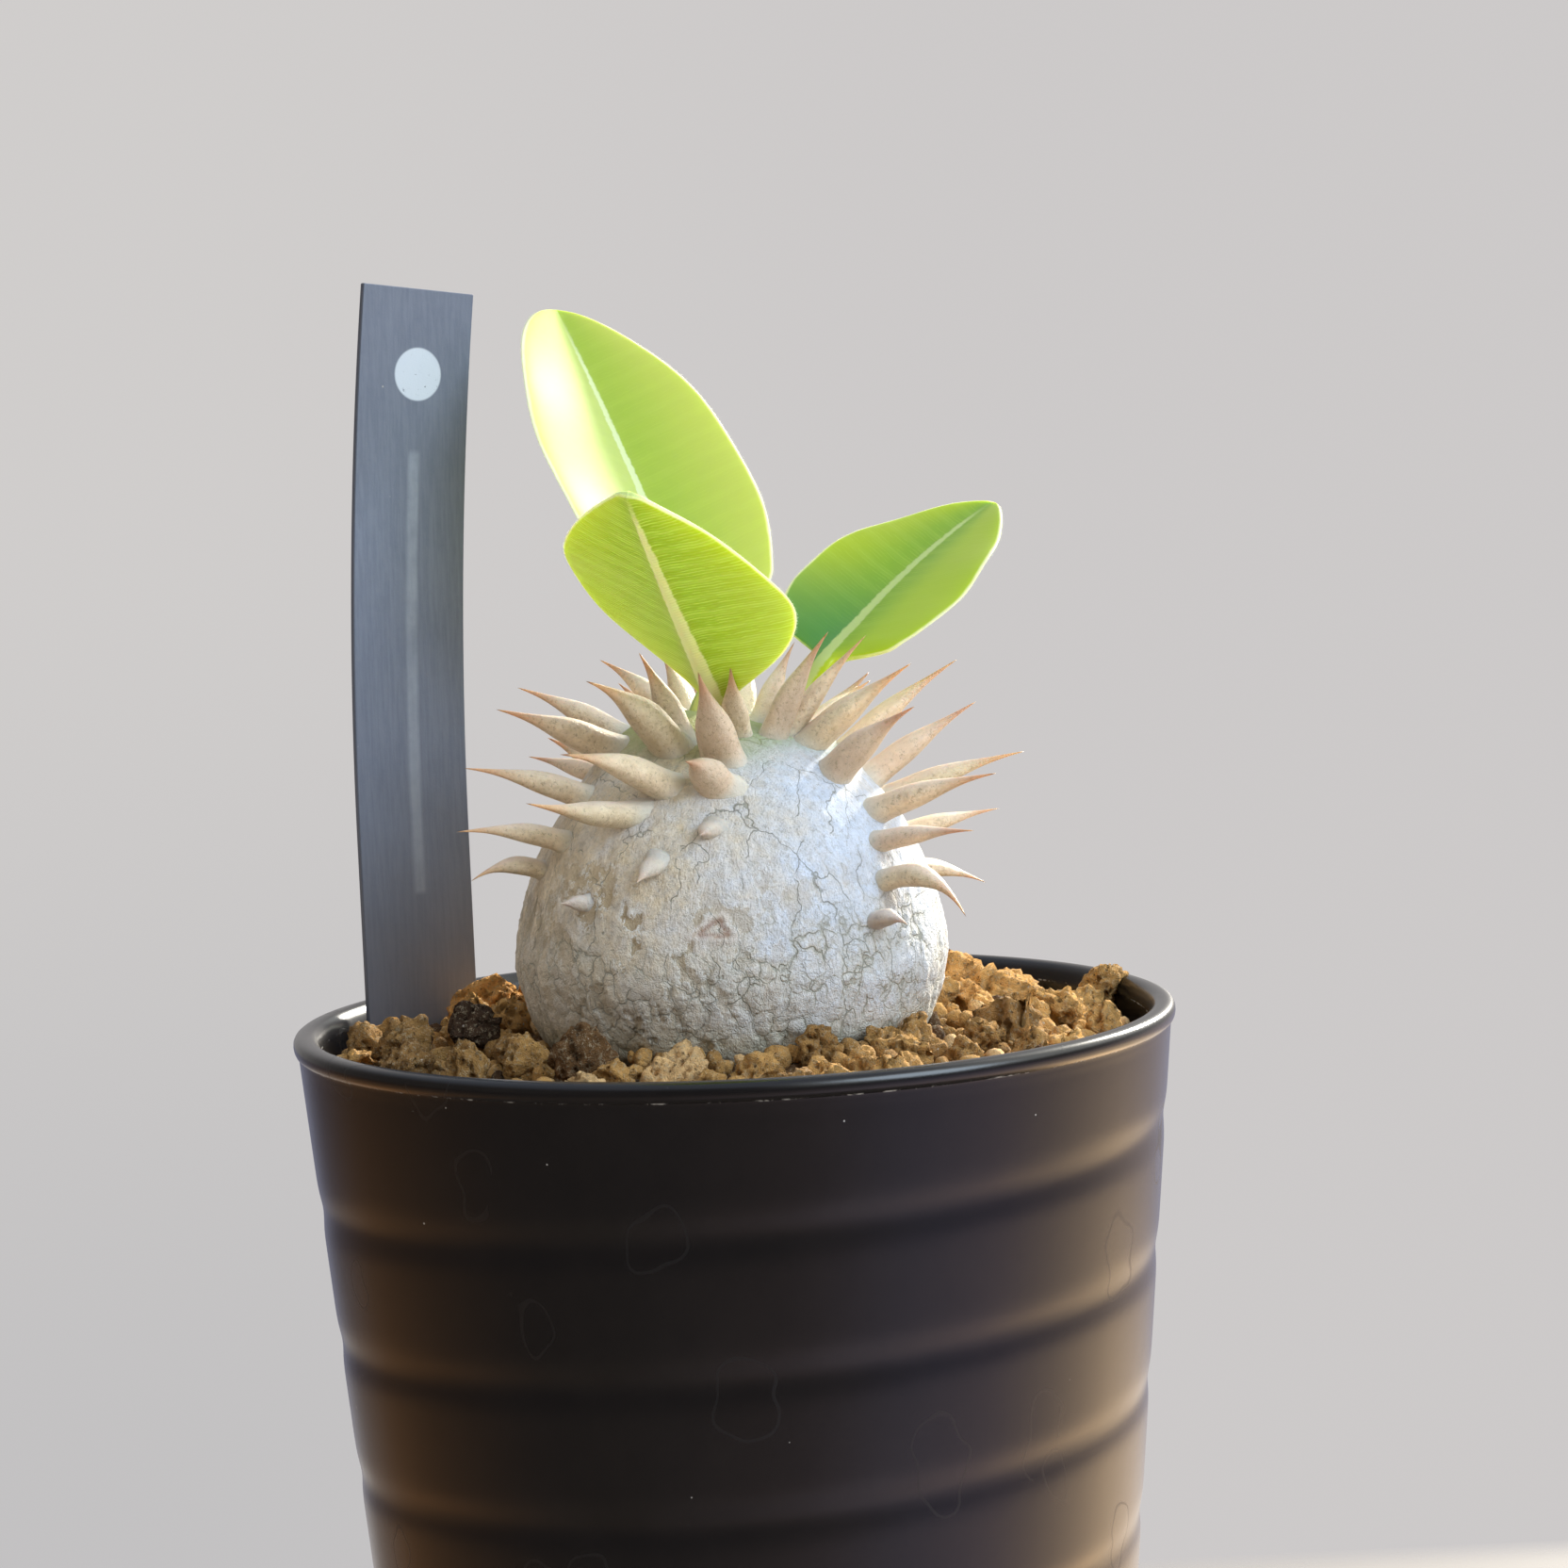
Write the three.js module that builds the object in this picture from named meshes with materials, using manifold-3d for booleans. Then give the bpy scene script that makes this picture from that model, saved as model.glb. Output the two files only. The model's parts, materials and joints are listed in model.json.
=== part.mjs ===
// A small caudex succulent (Pachypodium eburneum) growing in a black plastic pot.
// Units are millimetres, +Z is up, and the origin is the middle of the pot's foot.
// The front of the plant, with its bare stripe and its drooping front leaf, looks along -Y.

import * as THREE from 'three';
import * as BufferGeometryUtils from 'three/addons/utils/BufferGeometryUtils.js';
import Module from 'manifold-3d';

const wasm = await Module();
wasm.setup();

// Driving dimensions of the pot
const POT_HEIGHT = 92;
const RIM_RADIUS = 46;
const WALL_TOP_RADIUS = 45.7;
const WALL_TAPER = 0.091;
const WALL_THICKNESS = 2.3;
const FLOOR_UNDERSIDE = 2.6;
const FLOOR_TOP = 4.8;
const FOOT_INNER_RADIUS = 34;
const FOOT_NOTCHES = 3;
const DRAIN_SLOTS = 6;
const POT_SEGMENTS = 40;

// The turning mark that winds up the outside of the pot as a shallow groove
const GROOVE_PITCH = 14.0;
const GROOVE_DEPTH = 0.24;
const GROOVE_WIDTH = 1.2;
const GROOVE_HEIGHT_AT_LEFT = 73.6;
const GROOVE_FADE_START = 80.5;
const GROOVE_FADE_END = 85.5;

// Driving dimensions of the caudex: radius and height along its side, root to crown
const BODY_PROFILE = [
  [0, 50], [3, 54], [4.6, 70], [9, 79.5], [18.7, 88], [22.1, 95],
  [22.3, 101], [19.3, 110], [13.6, 117.3], [6.8, 121.1], [0, 122.2],
];
const BODY_CENTRE_HEIGHT = 100;
const BODY_SEGMENTS = 48;
const BODY_ROWS = 21;
const HOLE_SEGMENTS = 24;
const HOLE_EXTRA = 0.75;
const BARK_RELIEF = 0.28;
const BARK_PLATES_AROUND = 16;
const BARK_PLATE_HEIGHT = 5;
const BARK_FADE_START = 104;
const BARK_FADE_END = 113;

// The two low growing points of the crown, each a soft swelling of the body
const CROWN_LOBES = [
  { centre: new THREE.Vector3(-6.5, 1.5, 120.5), spread: 5.0, rise: 2.2 },
  { centre: new THREE.Vector3(8.0, 4.5, 120.0), spread: 4.6, rise: 1.4 },
];

// Spines on the left, front, right and crown, one row each: bearing round the body and height
// angle on it in degrees, length in mm, turn from the bearing, rise, width in mm, and bow: how far
// the middle stands above the straight line from root to tip, as a part of the length.
const PLACED_SPINES = [
  [163, 62, 12.5, 5, 27, 3.2, 0.04], [-170, 60, 13, 1, 22, 3.8, 0.03],
  [137, 73, 11.25, 8, 33, 3, 0.05], [-125, 65, 13, -15, 36, 4.2, 0.08],
  [-125, 70, 9.75, -55, 67, 3.6, 0.03], [144, 47, 12, -3, 11, 2.6, 0.02],
  [-116, 50, 14.5, -20, 18, 3.6, 0.05], [-159, 45, 13.25, -3, 17, 3, 0.04],
  [-125, 41, 13, -19, 10, 3.2, -0.02], [-154, 31, 12, 0, 10, 2.6, 0.05],
  [-162, 22, 8.25, 11, -2, 2.4, 0.13], [-90, 61, 11.25, -20, 55, 4, 0.03],
  [-76, 74, 9.5, -18, 50, 2.8, 0.01], [-94, 50, 6.5, -26, 28, 4, 0.1],
  [-95, 36, 2.75, -21, -6, 2.1, 0.05], [-112, 26, 4, -9, -21, 2.2, 0.05],
  [-134, 15, 3, -12, 5, 1.9, 0.02], [-43, 71, 13.25, 2, 54, 3, 0.04],
  [-25, 70, 13.25, 6, 49, 2.6, 0.03], [0, 67, 10, 38, 28, 2.6, 0.02],
  [-10, 79, 9, 31, 64, 2.8, 0.03], [-23, 64, 14, 0, 35, 3.6, 0.02],
  [9, 55, 15.25, -6, 37, 3, 0.03], [-35, 51, 12.5, -3, 34, 3.8, 0.04],
  [1, 46, 13.75, 4, 33, 3.2, 0.02], [5, 38, 15.25, -6, 17, 3, 0.03],
  [-28, 37, 14, 3, 16, 3.2, 0.03], [19, 25, 11.5, -2, 10, 2.4, 0.02],
  [-37, 28, 11.5, 3, 7, 2.5, 0.03], [26, 14, 11, 6, -14, 2.4, 0.05],
  [-40, 17, 10.75, -3, -17, 3, 0.2], [-48, 7, 4.75, -2, -1, 2.2, 0.12],
  [75, 72, 10, 0, 50, 2.8, 0.03], [118, 72, 10, 0, 50, 2.8, 0.03],
];

// Spines on the back, in pairs that stand in rings: height angle, number of pairs, length
const BACK_SPINE_RINGS = [
  { heightAngle: 58, pairs: 3, length: 12 },
  { heightAngle: 42, pairs: 4, length: 12.5 },
  { heightAngle: 27, pairs: 3, length: 10.5 },
];
const BACK_START_BEARING = 46;
const BACK_END_BEARING = 134;
const PAIR_SPREAD = 8;
const BACK_SPINE_WIDTH = 0.27;
const BACK_SPINE_BOW = 0.03;

// Shape of one spine: how full it is at shares of its length
const SPINE_SIDES = 5;
const SPINE_FLATNESS = 0.9;
const SPINE_STATIONS = [[-0.16, 1.12], [0.3, 1.0], [0.58, 0.56], [0.8, 0.17]];

// Leaves. The blade runs from base to tip. arch bows its midrib, roll turns it about its
// length, fold lifts each half, and round and power set the outline's shape.
const LEAVES = {
  leaf_back: {
    socket: [-3.0, 1.2, 121.4], base: [-0.6, 1.9, 127.0], tip: [-16.6, 28.9, 166.9],
    arch: 0.022, roll: -8, fold: 15, halfWidth: 14.0, round: 0.98, power: 0.53, neck: 0.24,
  },
  leaf_front: {
    socket: [-0.2, -2.0, 120.6], base: [0.0, -4.3, 124.2], tip: [-8.3, -33.4, 147.2],
    arch: -0.011, roll: 14, fold: 8, halfWidth: 12.45, round: 1.02, power: 1.12, neck: 0.02,
  },
  leaf_right: {
    socket: [6.3, 3.2, 120.6], base: [10.6, 2.4, 127.4], tip: [30.7, 20.4, 143.6],
    arch: 0.077, roll: -12, fold: 10, halfWidth: 10.85, round: 0.71, power: 0.7, neck: 0.12,
  },
};
const BLADE_THICKNESS = 0.66;
const MIDRIB_EXTRA = 0.28;
const STALK_RADIUS = 1.25;
const BLADE_STATIONS = [0.06, 0.13, 0.21, 0.31, 0.42, 0.54, 0.66, 0.77, 0.86, 0.93, 0.98];
const BLADE_COLUMNS = [-1, -0.5, 0, 0.5, 1];

// Plant tag: a thin plastic strip pushed into the soil, bowed to the right at its top
const TAG_WIDTH = 13.6;
const TAG_THICKNESS = 0.7;
const TAG_TOP = 169.3;
const TAG_SHOULDER = 84;
const TAG_POINT = 63;
const TAG_PLACE = new THREE.Vector3(-34.2, 17.3, 0);
const TAG_FACING_ANGLE = 34;
const TAG_BOW_START = 110;
const TAG_BOW = 3.4;

// Soil: granules of fired clay and pumice heaped almost to the rim
const SOIL_EDGE_HEIGHT = 87.6;
const SOIL_HEAP = 2.3;
const SOIL_MOUNDS = [
  { x: -22, y: 19, spread: 9, rise: 1.6 },
  { x: 27, y: 20, spread: 9, rise: 1.2 },
];
const SOIL_SEGMENTS = 28;
const SOIL_RINGS = [10, 18, 27, 36];
const GRAIN_COUNT = 70;
const GRAIN_INNER_RADIUS = 21.5;
const GRAIN_OUTER_RADIUS = 41.5;
const GRAIN_RADIUS = [3.0, 4.5];
const GOLDEN_ANGLE = 137.508;

// Gap between pieces that touch
const GAP = 0.3;

const radians = THREE.MathUtils.degToRad;
const smoothstep = THREE.MathUtils.smoothstep;

function seededRandom(seed) {
  let state = seed;
  return () => {
    state = (state + 0x6d2b79f5) | 0;
    let mixed = Math.imul(state ^ (state >>> 15), 1 | state);
    mixed = (mixed + Math.imul(mixed ^ (mixed >>> 7), 61 | mixed)) ^ mixed;
    return ((mixed ^ (mixed >>> 14)) >>> 0) / 4294967296;
  };
}

// Helpers that turn rings of points into closed solids

function signedVolume(points, triangles) {
  let sum = 0;
  for (let i = 0; i < triangles.length; i += 3) {
    const a = points[triangles[i]];
    const b = points[triangles[i + 1]];
    const c = points[triangles[i + 2]];
    sum += a.dot(new THREE.Vector3().crossVectors(b, c));
  }
  return sum / 6;
}

// Rings of equal count, closed at both ends by a fan to a pole
function ringSolid(startPole, rings, endPole) {
  const count = rings[0].length;
  const points = [startPole, ...rings.flat(), endPole];
  const last = points.length - 1;
  const triangles = [];
  for (let k = 0; k < count; k += 1) {
    const next = (k + 1) % count;
    triangles.push(0, 1 + next, 1 + k);
    for (let row = 0; row < rings.length - 1; row += 1) {
      const low = 1 + row * count;
      const high = low + count;
      triangles.push(low + k, low + next, high + next);
      triangles.push(low + k, high + next, high + k);
    }
    const top = 1 + (rings.length - 1) * count;
    triangles.push(last, top + k, top + next);
  }
  if (signedVolume(points, triangles) < 0) {
    triangles.reverse();
  }
  const geometry = new THREE.BufferGeometry().setFromPoints(points);
  geometry.setIndex(triangles);
  return toSolid(geometry);
}

function toSolid(source) {
  const geometry = source.clone();
  geometry.deleteAttribute('normal');
  geometry.deleteAttribute('uv');
  const merged = BufferGeometryUtils.mergeVertices(geometry, 1e-5);
  return new wasm.Manifold(new wasm.Mesh({
    numProp: 3,
    vertProperties: new Float32Array(merged.attributes.position.array),
    triVerts: new Uint32Array(merged.index.array),
  }));
}

function toGeometry(solid) {
  const mesh = solid.getMesh();
  const geometry = new THREE.BufferGeometry();
  geometry.setAttribute('position', new THREE.BufferAttribute(mesh.vertProperties, 3));
  geometry.setIndex(new THREE.BufferAttribute(mesh.triVerts, 1));
  geometry.computeVertexNormals();
  return geometry;
}

// Fusing can cut off a scrap or seal a hollow: only the main outer body is kept
function mainBody(solid) {
  const pieces = solid.decompose();
  return pieces.reduce((best, piece) => (piece.volume() > best.volume() ? piece : best));
}

function circle(segments, place) {
  return Array.from({ length: segments }, (_, k) => place((2 * Math.PI * k) / segments));
}

// Pot

function outerRadius(height) {
  return WALL_TOP_RADIUS - WALL_TAPER * (POT_HEIGHT - height);
}

function innerRadius(height) {
  return outerRadius(height) - WALL_THICKNESS;
}

// Depth of the winding groove. It rises by one pitch a turn, to the right across the front.
function grooveDepth(angle, height) {
  const turns = (angle - Math.PI) / (2 * Math.PI);
  const middle = GROOVE_HEIGHT_AT_LEFT + GROOVE_PITCH * turns;
  const offset = height - middle;
  const nearest = offset - GROOVE_PITCH * Math.round(offset / GROOVE_PITCH);
  const fade = 1 - smoothstep(height, GROOVE_FADE_START, GROOVE_FADE_END);
  return GROOVE_DEPTH * fade * Math.exp(-(nearest ** 2) / (2 * GROOVE_WIDTH ** 2));
}

function potSide() {
  const wallRows = 26;
  const low = 3;
  const high = 89.6;
  const side = [[12, FLOOR_UNDERSIDE], [FOOT_INNER_RADIUS, FLOOR_UNDERSIDE]];
  side.push([FOOT_INNER_RADIUS + 0.4, 0], [outerRadius(0) - 0.6, 0], [outerRadius(0.7), 0.7]);
  for (let row = 0; row <= wallRows; row += 1) {
    const height = low + ((high - low) * row) / wallRows;
    side.push([outerRadius(height), height]);
  }
  side.push([RIM_RADIUS - 0.12, 90.4], [RIM_RADIUS, 91.1], [RIM_RADIUS - 0.35, 91.75]);
  side.push([RIM_RADIUS - 1.1, POT_HEIGHT], [RIM_RADIUS - 1.7, POT_HEIGHT]);
  side.push([RIM_RADIUS - 2.3, 91.7], [innerRadius(91), 90.9]);
  for (const height of [84, 60, 32, 7.5]) {
    side.push([innerRadius(height), height]);
  }
  side.push([innerRadius(FLOOR_TOP) - 1.6, FLOOR_TOP], [12, FLOOR_TOP]);
  return side;
}

function potShell() {
  const rings = potSide().map(([radius, height]) => {
    const onWall = radius >= outerRadius(height) - 0.01 && height > 2 && height < 90;
    return circle(POT_SEGMENTS, (angle) => {
      const depth = onWall ? grooveDepth(angle, height) : 0;
      const reach = radius - depth;
      return new THREE.Vector3(reach * Math.cos(angle), reach * Math.sin(angle), height);
    });
  });
  const underside = new THREE.Vector3(0, 0, FLOOR_UNDERSIDE);
  const floor = new THREE.Vector3(0, 0, FLOOR_TOP);
  return ringSolid(underside, rings, floor);
}

function turnedBox(length, width, height, distance, angle, middleHeight) {
  const box = new THREE.BoxGeometry(length, width, height);
  box.translate(distance, 0, middleHeight);
  box.rotateZ(angle);
  return toSolid(box);
}

function makePot() {
  let pot = potShell();
  for (let k = 0; k < DRAIN_SLOTS; k += 1) {
    const angle = (2 * Math.PI * (k + 0.5)) / DRAIN_SLOTS;
    pot = pot.subtract(turnedBox(13, 3, 8, 17, angle, FLOOR_TOP - 1));
  }
  for (let k = 0; k < FOOT_NOTCHES; k += 1) {
    const angle = (2 * Math.PI * k) / FOOT_NOTCHES + Math.PI / 6;
    pot = pot.subtract(turnedBox(12, 9, 3.2, 36, angle, 0));
  }
  return pot;
}

// Caudex

const profileCurve = new THREE.SplineCurve(BODY_PROFILE.map(([r, z]) => new THREE.Vector2(r, z)));

function barkHeight(angle, height) {
  const wander = 0.9 * Math.sin(height / 3.1 + 2 * Math.sin(angle * 3));
  const columns = Math.cos(BARK_PLATES_AROUND * angle + wander);
  const rows = Math.cos((2 * Math.PI * height) / BARK_PLATE_HEIGHT + 3 * Math.sin(angle * 5));
  const fade = 1 - smoothstep(height, BARK_FADE_START, BARK_FADE_END);
  return BARK_RELIEF * fade * (0.6 * columns + 0.4 * rows);
}

function lobeHeight(point) {
  return CROWN_LOBES.reduce((sum, lobe) => {
    const away = point.distanceToSquared(lobe.centre);
    return sum + lobe.rise * Math.exp(-away / (2 * lobe.spread ** 2));
  }, 0);
}

// A point on the body, at a share of the way along its side and a bearing round it
function bodyPoint(share, angle, lift, relief = barkHeight) {
  const side = profileCurve.getPointAt(share);
  const along = profileCurve.getTangentAt(share);
  const across = new THREE.Vector3(Math.cos(angle), Math.sin(angle), 0);
  const point = across.clone().multiplyScalar(side.x);
  point.z = side.y;
  const outward = across.multiplyScalar(along.y);
  outward.z = -along.x;
  const raise = lobeHeight(point) + relief(angle, side.y) + lift;
  return point.addScaledVector(outward, raise);
}

function turnedBody(segments, rows, lift, relief) {
  const rings = [];
  for (let row = 1; row < rows; row += 1) {
    rings.push(circle(segments, (angle) => bodyPoint(row / rows, angle, lift, relief)));
  }
  const bottom = new THREE.Vector3(0, 0, BODY_PROFILE[0][1] - lift);
  const topHeight = BODY_PROFILE[BODY_PROFILE.length - 1][1];
  const top = new THREE.Vector3(0, 0, topHeight);
  top.z += lobeHeight(top) + lift;
  return ringSolid(bottom, rings, top);
}

function makeBody() {
  return turnedBody(BODY_SEGMENTS, BODY_ROWS, 0, barkHeight);
}

// The plain hole that the body stands in: smooth, and clear of the bark's highest plates
function makeHole() {
  return turnedBody(HOLE_SEGMENTS, BODY_ROWS, HOLE_EXTRA, () => 0);
}

// Where the body's side has a given height angle, seen from its centre
function shareAtHeightAngle(heightAngle) {
  let low = 0.3;
  let high = 1;
  for (let step = 0; step < 30; step += 1) {
    const middle = (low + high) / 2;
    const side = profileCurve.getPointAt(middle);
    if (Math.atan2(side.y - BODY_CENTRE_HEIGHT, side.x) < heightAngle) {
      low = middle;
    } else {
      high = middle;
    }
  }
  return low;
}

// One thorn: a flared root, a full middle and a drawn-out tip, bowed along its length
function makeSpine(bearing, heightAngle, length, turn, rise, width, bow) {
  const angle = radians(bearing);
  const root = bodyPoint(shareAtHeightAngle(radians(heightAngle)), angle, -0.2);
  const heading = radians(bearing + turn);
  const climb = radians(rise);
  const along = new THREE.Vector3(
    Math.cos(climb) * Math.cos(heading),
    Math.cos(climb) * Math.sin(heading),
    Math.sin(climb),
  );
  const sideways = new THREE.Vector3(-Math.sin(heading), Math.cos(heading), 0);
  const upward = new THREE.Vector3().crossVectors(along, sideways);
  const centreAt = (share) => root.clone()
    .addScaledVector(along, share * length)
    .addScaledVector(upward, 4 * bow * length * share * (1 - share));
  const rings = SPINE_STATIONS.map(([share, fullness]) => circle(SPINE_SIDES, (around) => centreAt(share)
    .addScaledVector(sideways, (width / 2) * fullness * Math.cos(around))
    .addScaledVector(upward, (width / 2) * fullness * SPINE_FLATNESS * Math.sin(around))));
  const heel = centreAt(SPINE_STATIONS[0][0] - 0.05);
  return ringSolid(heel, rings, centreAt(1));
}

function backSpines() {
  const random = seededRandom(7);
  const spines = [];
  BACK_SPINE_RINGS.forEach((ring, ringIndex) => {
    for (let pair = 0; pair < ring.pairs; pair += 1) {
      const share = (pair + 0.5 + 0.25 * (ringIndex % 2)) / (ring.pairs + 0.25);
      const bearing = BACK_START_BEARING + (BACK_END_BEARING - BACK_START_BEARING) * share;
      for (const side of [-1, 1]) {
        const place = bearing + side * PAIR_SPREAD + 4 * (random() - 0.5);
        const heightAngle = ring.heightAngle + 5 * (random() - 0.5) + 2 * side;
        const length = ring.length * (0.9 + 0.2 * random());
        const rise = ring.heightAngle * 0.6 + 8 * (random() - 0.5);
        const width = BACK_SPINE_WIDTH * length;
        spines.push([place, heightAngle, length, 6 * side, rise, width, BACK_SPINE_BOW]);
      }
    }
  });
  return spines;
}

function makeCaudex() {
  let caudex = makeBody();
  for (const spine of [...PLACED_SPINES, ...backSpines()]) {
    caudex = caudex.add(makeSpine(...spine));
  }
  for (const leaf of Object.values(LEAVES)) {
    caudex = caudex.subtract(makeStalk(leaf, GAP));
  }
  return mainBody(caudex);
}

// Leaves

// Frame of the blade: its chord, the way across it and the way its upper face looks
function bladeFrame(leaf) {
  const base = new THREE.Vector3(...leaf.base);
  const chord = new THREE.Vector3(...leaf.tip).sub(base);
  const length = chord.length();
  const forward = chord.clone().divideScalar(length);
  const level = new THREE.Vector3().crossVectors(forward, new THREE.Vector3(0, 0, 1)).normalize();
  const face = new THREE.Vector3().crossVectors(level, forward);
  const roll = radians(leaf.roll);
  const facing = face.clone().multiplyScalar(Math.cos(roll)).addScaledVector(level, -Math.sin(roll));
  return { base, chord, length, facing };
}

function bladeStation(leaf, frame, share) {
  const bow = leaf.arch * frame.length;
  const centre = frame.base.clone()
    .addScaledVector(frame.chord, share)
    .addScaledVector(frame.facing, 2 * bow * share * (1 - share));
  const forward = frame.chord.clone()
    .addScaledVector(frame.facing, 2 * bow * (1 - 2 * share))
    .normalize();
  const across = new THREE.Vector3().crossVectors(forward, frame.facing).normalize();
  const up = new THREE.Vector3().crossVectors(across, forward);
  return { centre, across, up };
}

function halfWidthAt(leaf, share) {
  const outline = Math.sin(Math.PI * share ** leaf.round) ** leaf.power;
  const neck = smoothstep(share, 0, leaf.neck);
  return Math.max(STALK_RADIUS, leaf.halfWidth * outline * neck);
}

function bladeRing(leaf, frame, share) {
  const { centre, across, up } = bladeStation(leaf, frame, share);
  const width = halfWidthAt(leaf, share);
  const fold = radians(leaf.fold) * smoothstep(share, 0, 0.15);
  const rib = MIDRIB_EXTRA * (1 - share) + 0.9 * (1 - smoothstep(share, 0, 0.2));
  const facePoint = (column, side) => {
    const reach = Math.abs(column) * width;
    const swell = rib * Math.max(0, 1 - Math.abs(column) * 1.6);
    const half = BLADE_THICKNESS / 2 + swell / 2;
    return centre.clone()
      .addScaledVector(across, Math.sign(column) * reach * Math.cos(fold))
      .addScaledVector(up, reach * Math.sin(fold) + side * half);
  };
  const upper = BLADE_COLUMNS.map((column) => facePoint(column, 1));
  const lower = [...BLADE_COLUMNS].reverse().map((column) => facePoint(column, -1));
  return [...upper, ...lower];
}

// Ring of the stalk, with as many points as a blade ring and in the same order
function stalkRing(centre, across, up, radius) {
  const count = 2 * BLADE_COLUMNS.length;
  return circle(count, (around) => {
    const turn = Math.PI - around + Math.PI / count;
    return centre.clone()
      .addScaledVector(across, radius * Math.cos(turn))
      .addScaledVector(up, radius * Math.sin(turn));
  });
}

function stalkRings(leaf, extra) {
  const frame = bladeFrame(leaf);
  const socket = new THREE.Vector3(...leaf.socket);
  const run = frame.base.clone().sub(socket);
  const forward = run.clone().normalize();
  const { across } = bladeStation(leaf, frame, 0);
  const level = across.clone().addScaledVector(forward, -across.dot(forward)).normalize();
  const up = new THREE.Vector3().crossVectors(level, forward);
  const radius = STALK_RADIUS + extra;
  return [-extra / run.length(), 0.45, 0.9].map((share) => (
    stalkRing(socket.clone().addScaledVector(run, share), level, up, radius)));
}

function makeStalk(leaf, extra) {
  const rings = stalkRings(leaf, extra);
  const middle = (ring) => ring.reduce((sum, p) => sum.add(p), new THREE.Vector3())
    .divideScalar(ring.length);
  return ringSolid(middle(rings[0]), rings, middle(rings[rings.length - 1]));
}

function makeLeaf(leaf) {
  const frame = bladeFrame(leaf);
  const stalk = stalkRings(leaf, 0);
  const blade = BLADE_STATIONS.map((share) => bladeRing(leaf, frame, share));
  const heel = new THREE.Vector3(...leaf.socket);
  const tip = bladeStation(leaf, frame, 1).centre;
  return ringSolid(heel, [...stalk, ...blade], tip);
}

// Plant tag

function tagRing(height, width, thickness) {
  const share = Math.max(0, (height - TAG_BOW_START) / (TAG_TOP - TAG_BOW_START));
  const slope = (2 * TAG_BOW * share) / (TAG_TOP - TAG_BOW_START);
  const forward = new THREE.Vector3(slope, 0, 1).normalize();
  const facing = radians(TAG_FACING_ANGLE);
  const across = new THREE.Vector3(Math.cos(facing), Math.sin(facing), 0);
  across.addScaledVector(forward, -across.dot(forward)).normalize();
  const normal = new THREE.Vector3().crossVectors(forward, across);
  const centre = TAG_PLACE.clone();
  centre.x += TAG_BOW * share ** 2;
  centre.z = height;
  const corners = [[-1, -1], [1, -1], [1, 1], [-1, 1]];
  return corners.map(([u, v]) => centre.clone()
    .addScaledVector(across, (u * width) / 2)
    .addScaledVector(normal, (v * thickness) / 2));
}

function makeTag(extra) {
  const wide = TAG_WIDTH + 2 * extra;
  const thick = TAG_THICKNESS + 2 * extra;
  const heights = [TAG_SHOULDER, 112, 124, 134, 143, 152, 161];
  const rings = [tagRing(TAG_POINT - extra, 1.6 + 2 * extra, thick)];
  heights.forEach((height) => rings.push(tagRing(height, wide, thick)));
  rings.push(tagRing(TAG_TOP, wide, thick));
  const foot = TAG_PLACE.clone().setZ(TAG_POINT - extra);
  const head = rings[rings.length - 1].reduce((sum, p) => sum.add(p), new THREE.Vector3());
  return ringSolid(foot, rings, head.divideScalar(4));
}

// Soil

function soilHeight(x, y) {
  const distance = Math.hypot(x, y);
  let height = SOIL_EDGE_HEIGHT + SOIL_HEAP * (1 - smoothstep(distance, 18, 42));
  for (const mound of SOIL_MOUNDS) {
    const away = (x - mound.x) ** 2 + (y - mound.y) ** 2;
    height += mound.rise * Math.exp(-away / (2 * mound.spread ** 2));
  }
  return height;
}

// The space inside the pot that soil may fill, with its gap to the wall
function soilSpace(top) {
  const low = FLOOR_TOP + GAP;
  const levels = [[innerRadius(low) - 2.4, low], [innerRadius(8) - GAP, 8], [innerRadius(84) - GAP, 84]];
  levels.push([innerRadius(90) - GAP - 0.1, top]);
  const rings = levels.map(([radius, height]) => circle(POT_SEGMENTS, (angle) => (
    new THREE.Vector3(radius * Math.cos(angle), radius * Math.sin(angle), height))));
  return ringSolid(new THREE.Vector3(0, 0, low), rings, new THREE.Vector3(0, 0, top));
}

function soilBed() {
  const rings = [0, 80].map((height) => circle(SOIL_SEGMENTS, (angle) => (
    new THREE.Vector3(45 * Math.cos(angle), 45 * Math.sin(angle), height))));
  [44, ...[...SOIL_RINGS].reverse()].forEach((radius) => {
    rings.push(circle(SOIL_SEGMENTS, (angle) => {
      const x = radius * Math.cos(angle);
      const y = radius * Math.sin(angle);
      return new THREE.Vector3(x, y, soilHeight(x, y));
    }));
  });
  return ringSolid(new THREE.Vector3(0, 0, 0), rings, new THREE.Vector3(0, 0, soilHeight(0, 0)));
}

function makeGrain(x, y, radius, random) {
  const grain = new THREE.IcosahedronGeometry(radius, 0);
  grain.scale(0.85 + 0.4 * random(), 0.8 + 0.3 * random(), 0.75 + 0.25 * random());
  grain.rotateX(2 * Math.PI * random());
  grain.rotateZ(2 * Math.PI * random());
  grain.translate(x, y, soilHeight(x, y) + radius * (0.05 + 0.25 * random()));
  return toSolid(grain);
}

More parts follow.
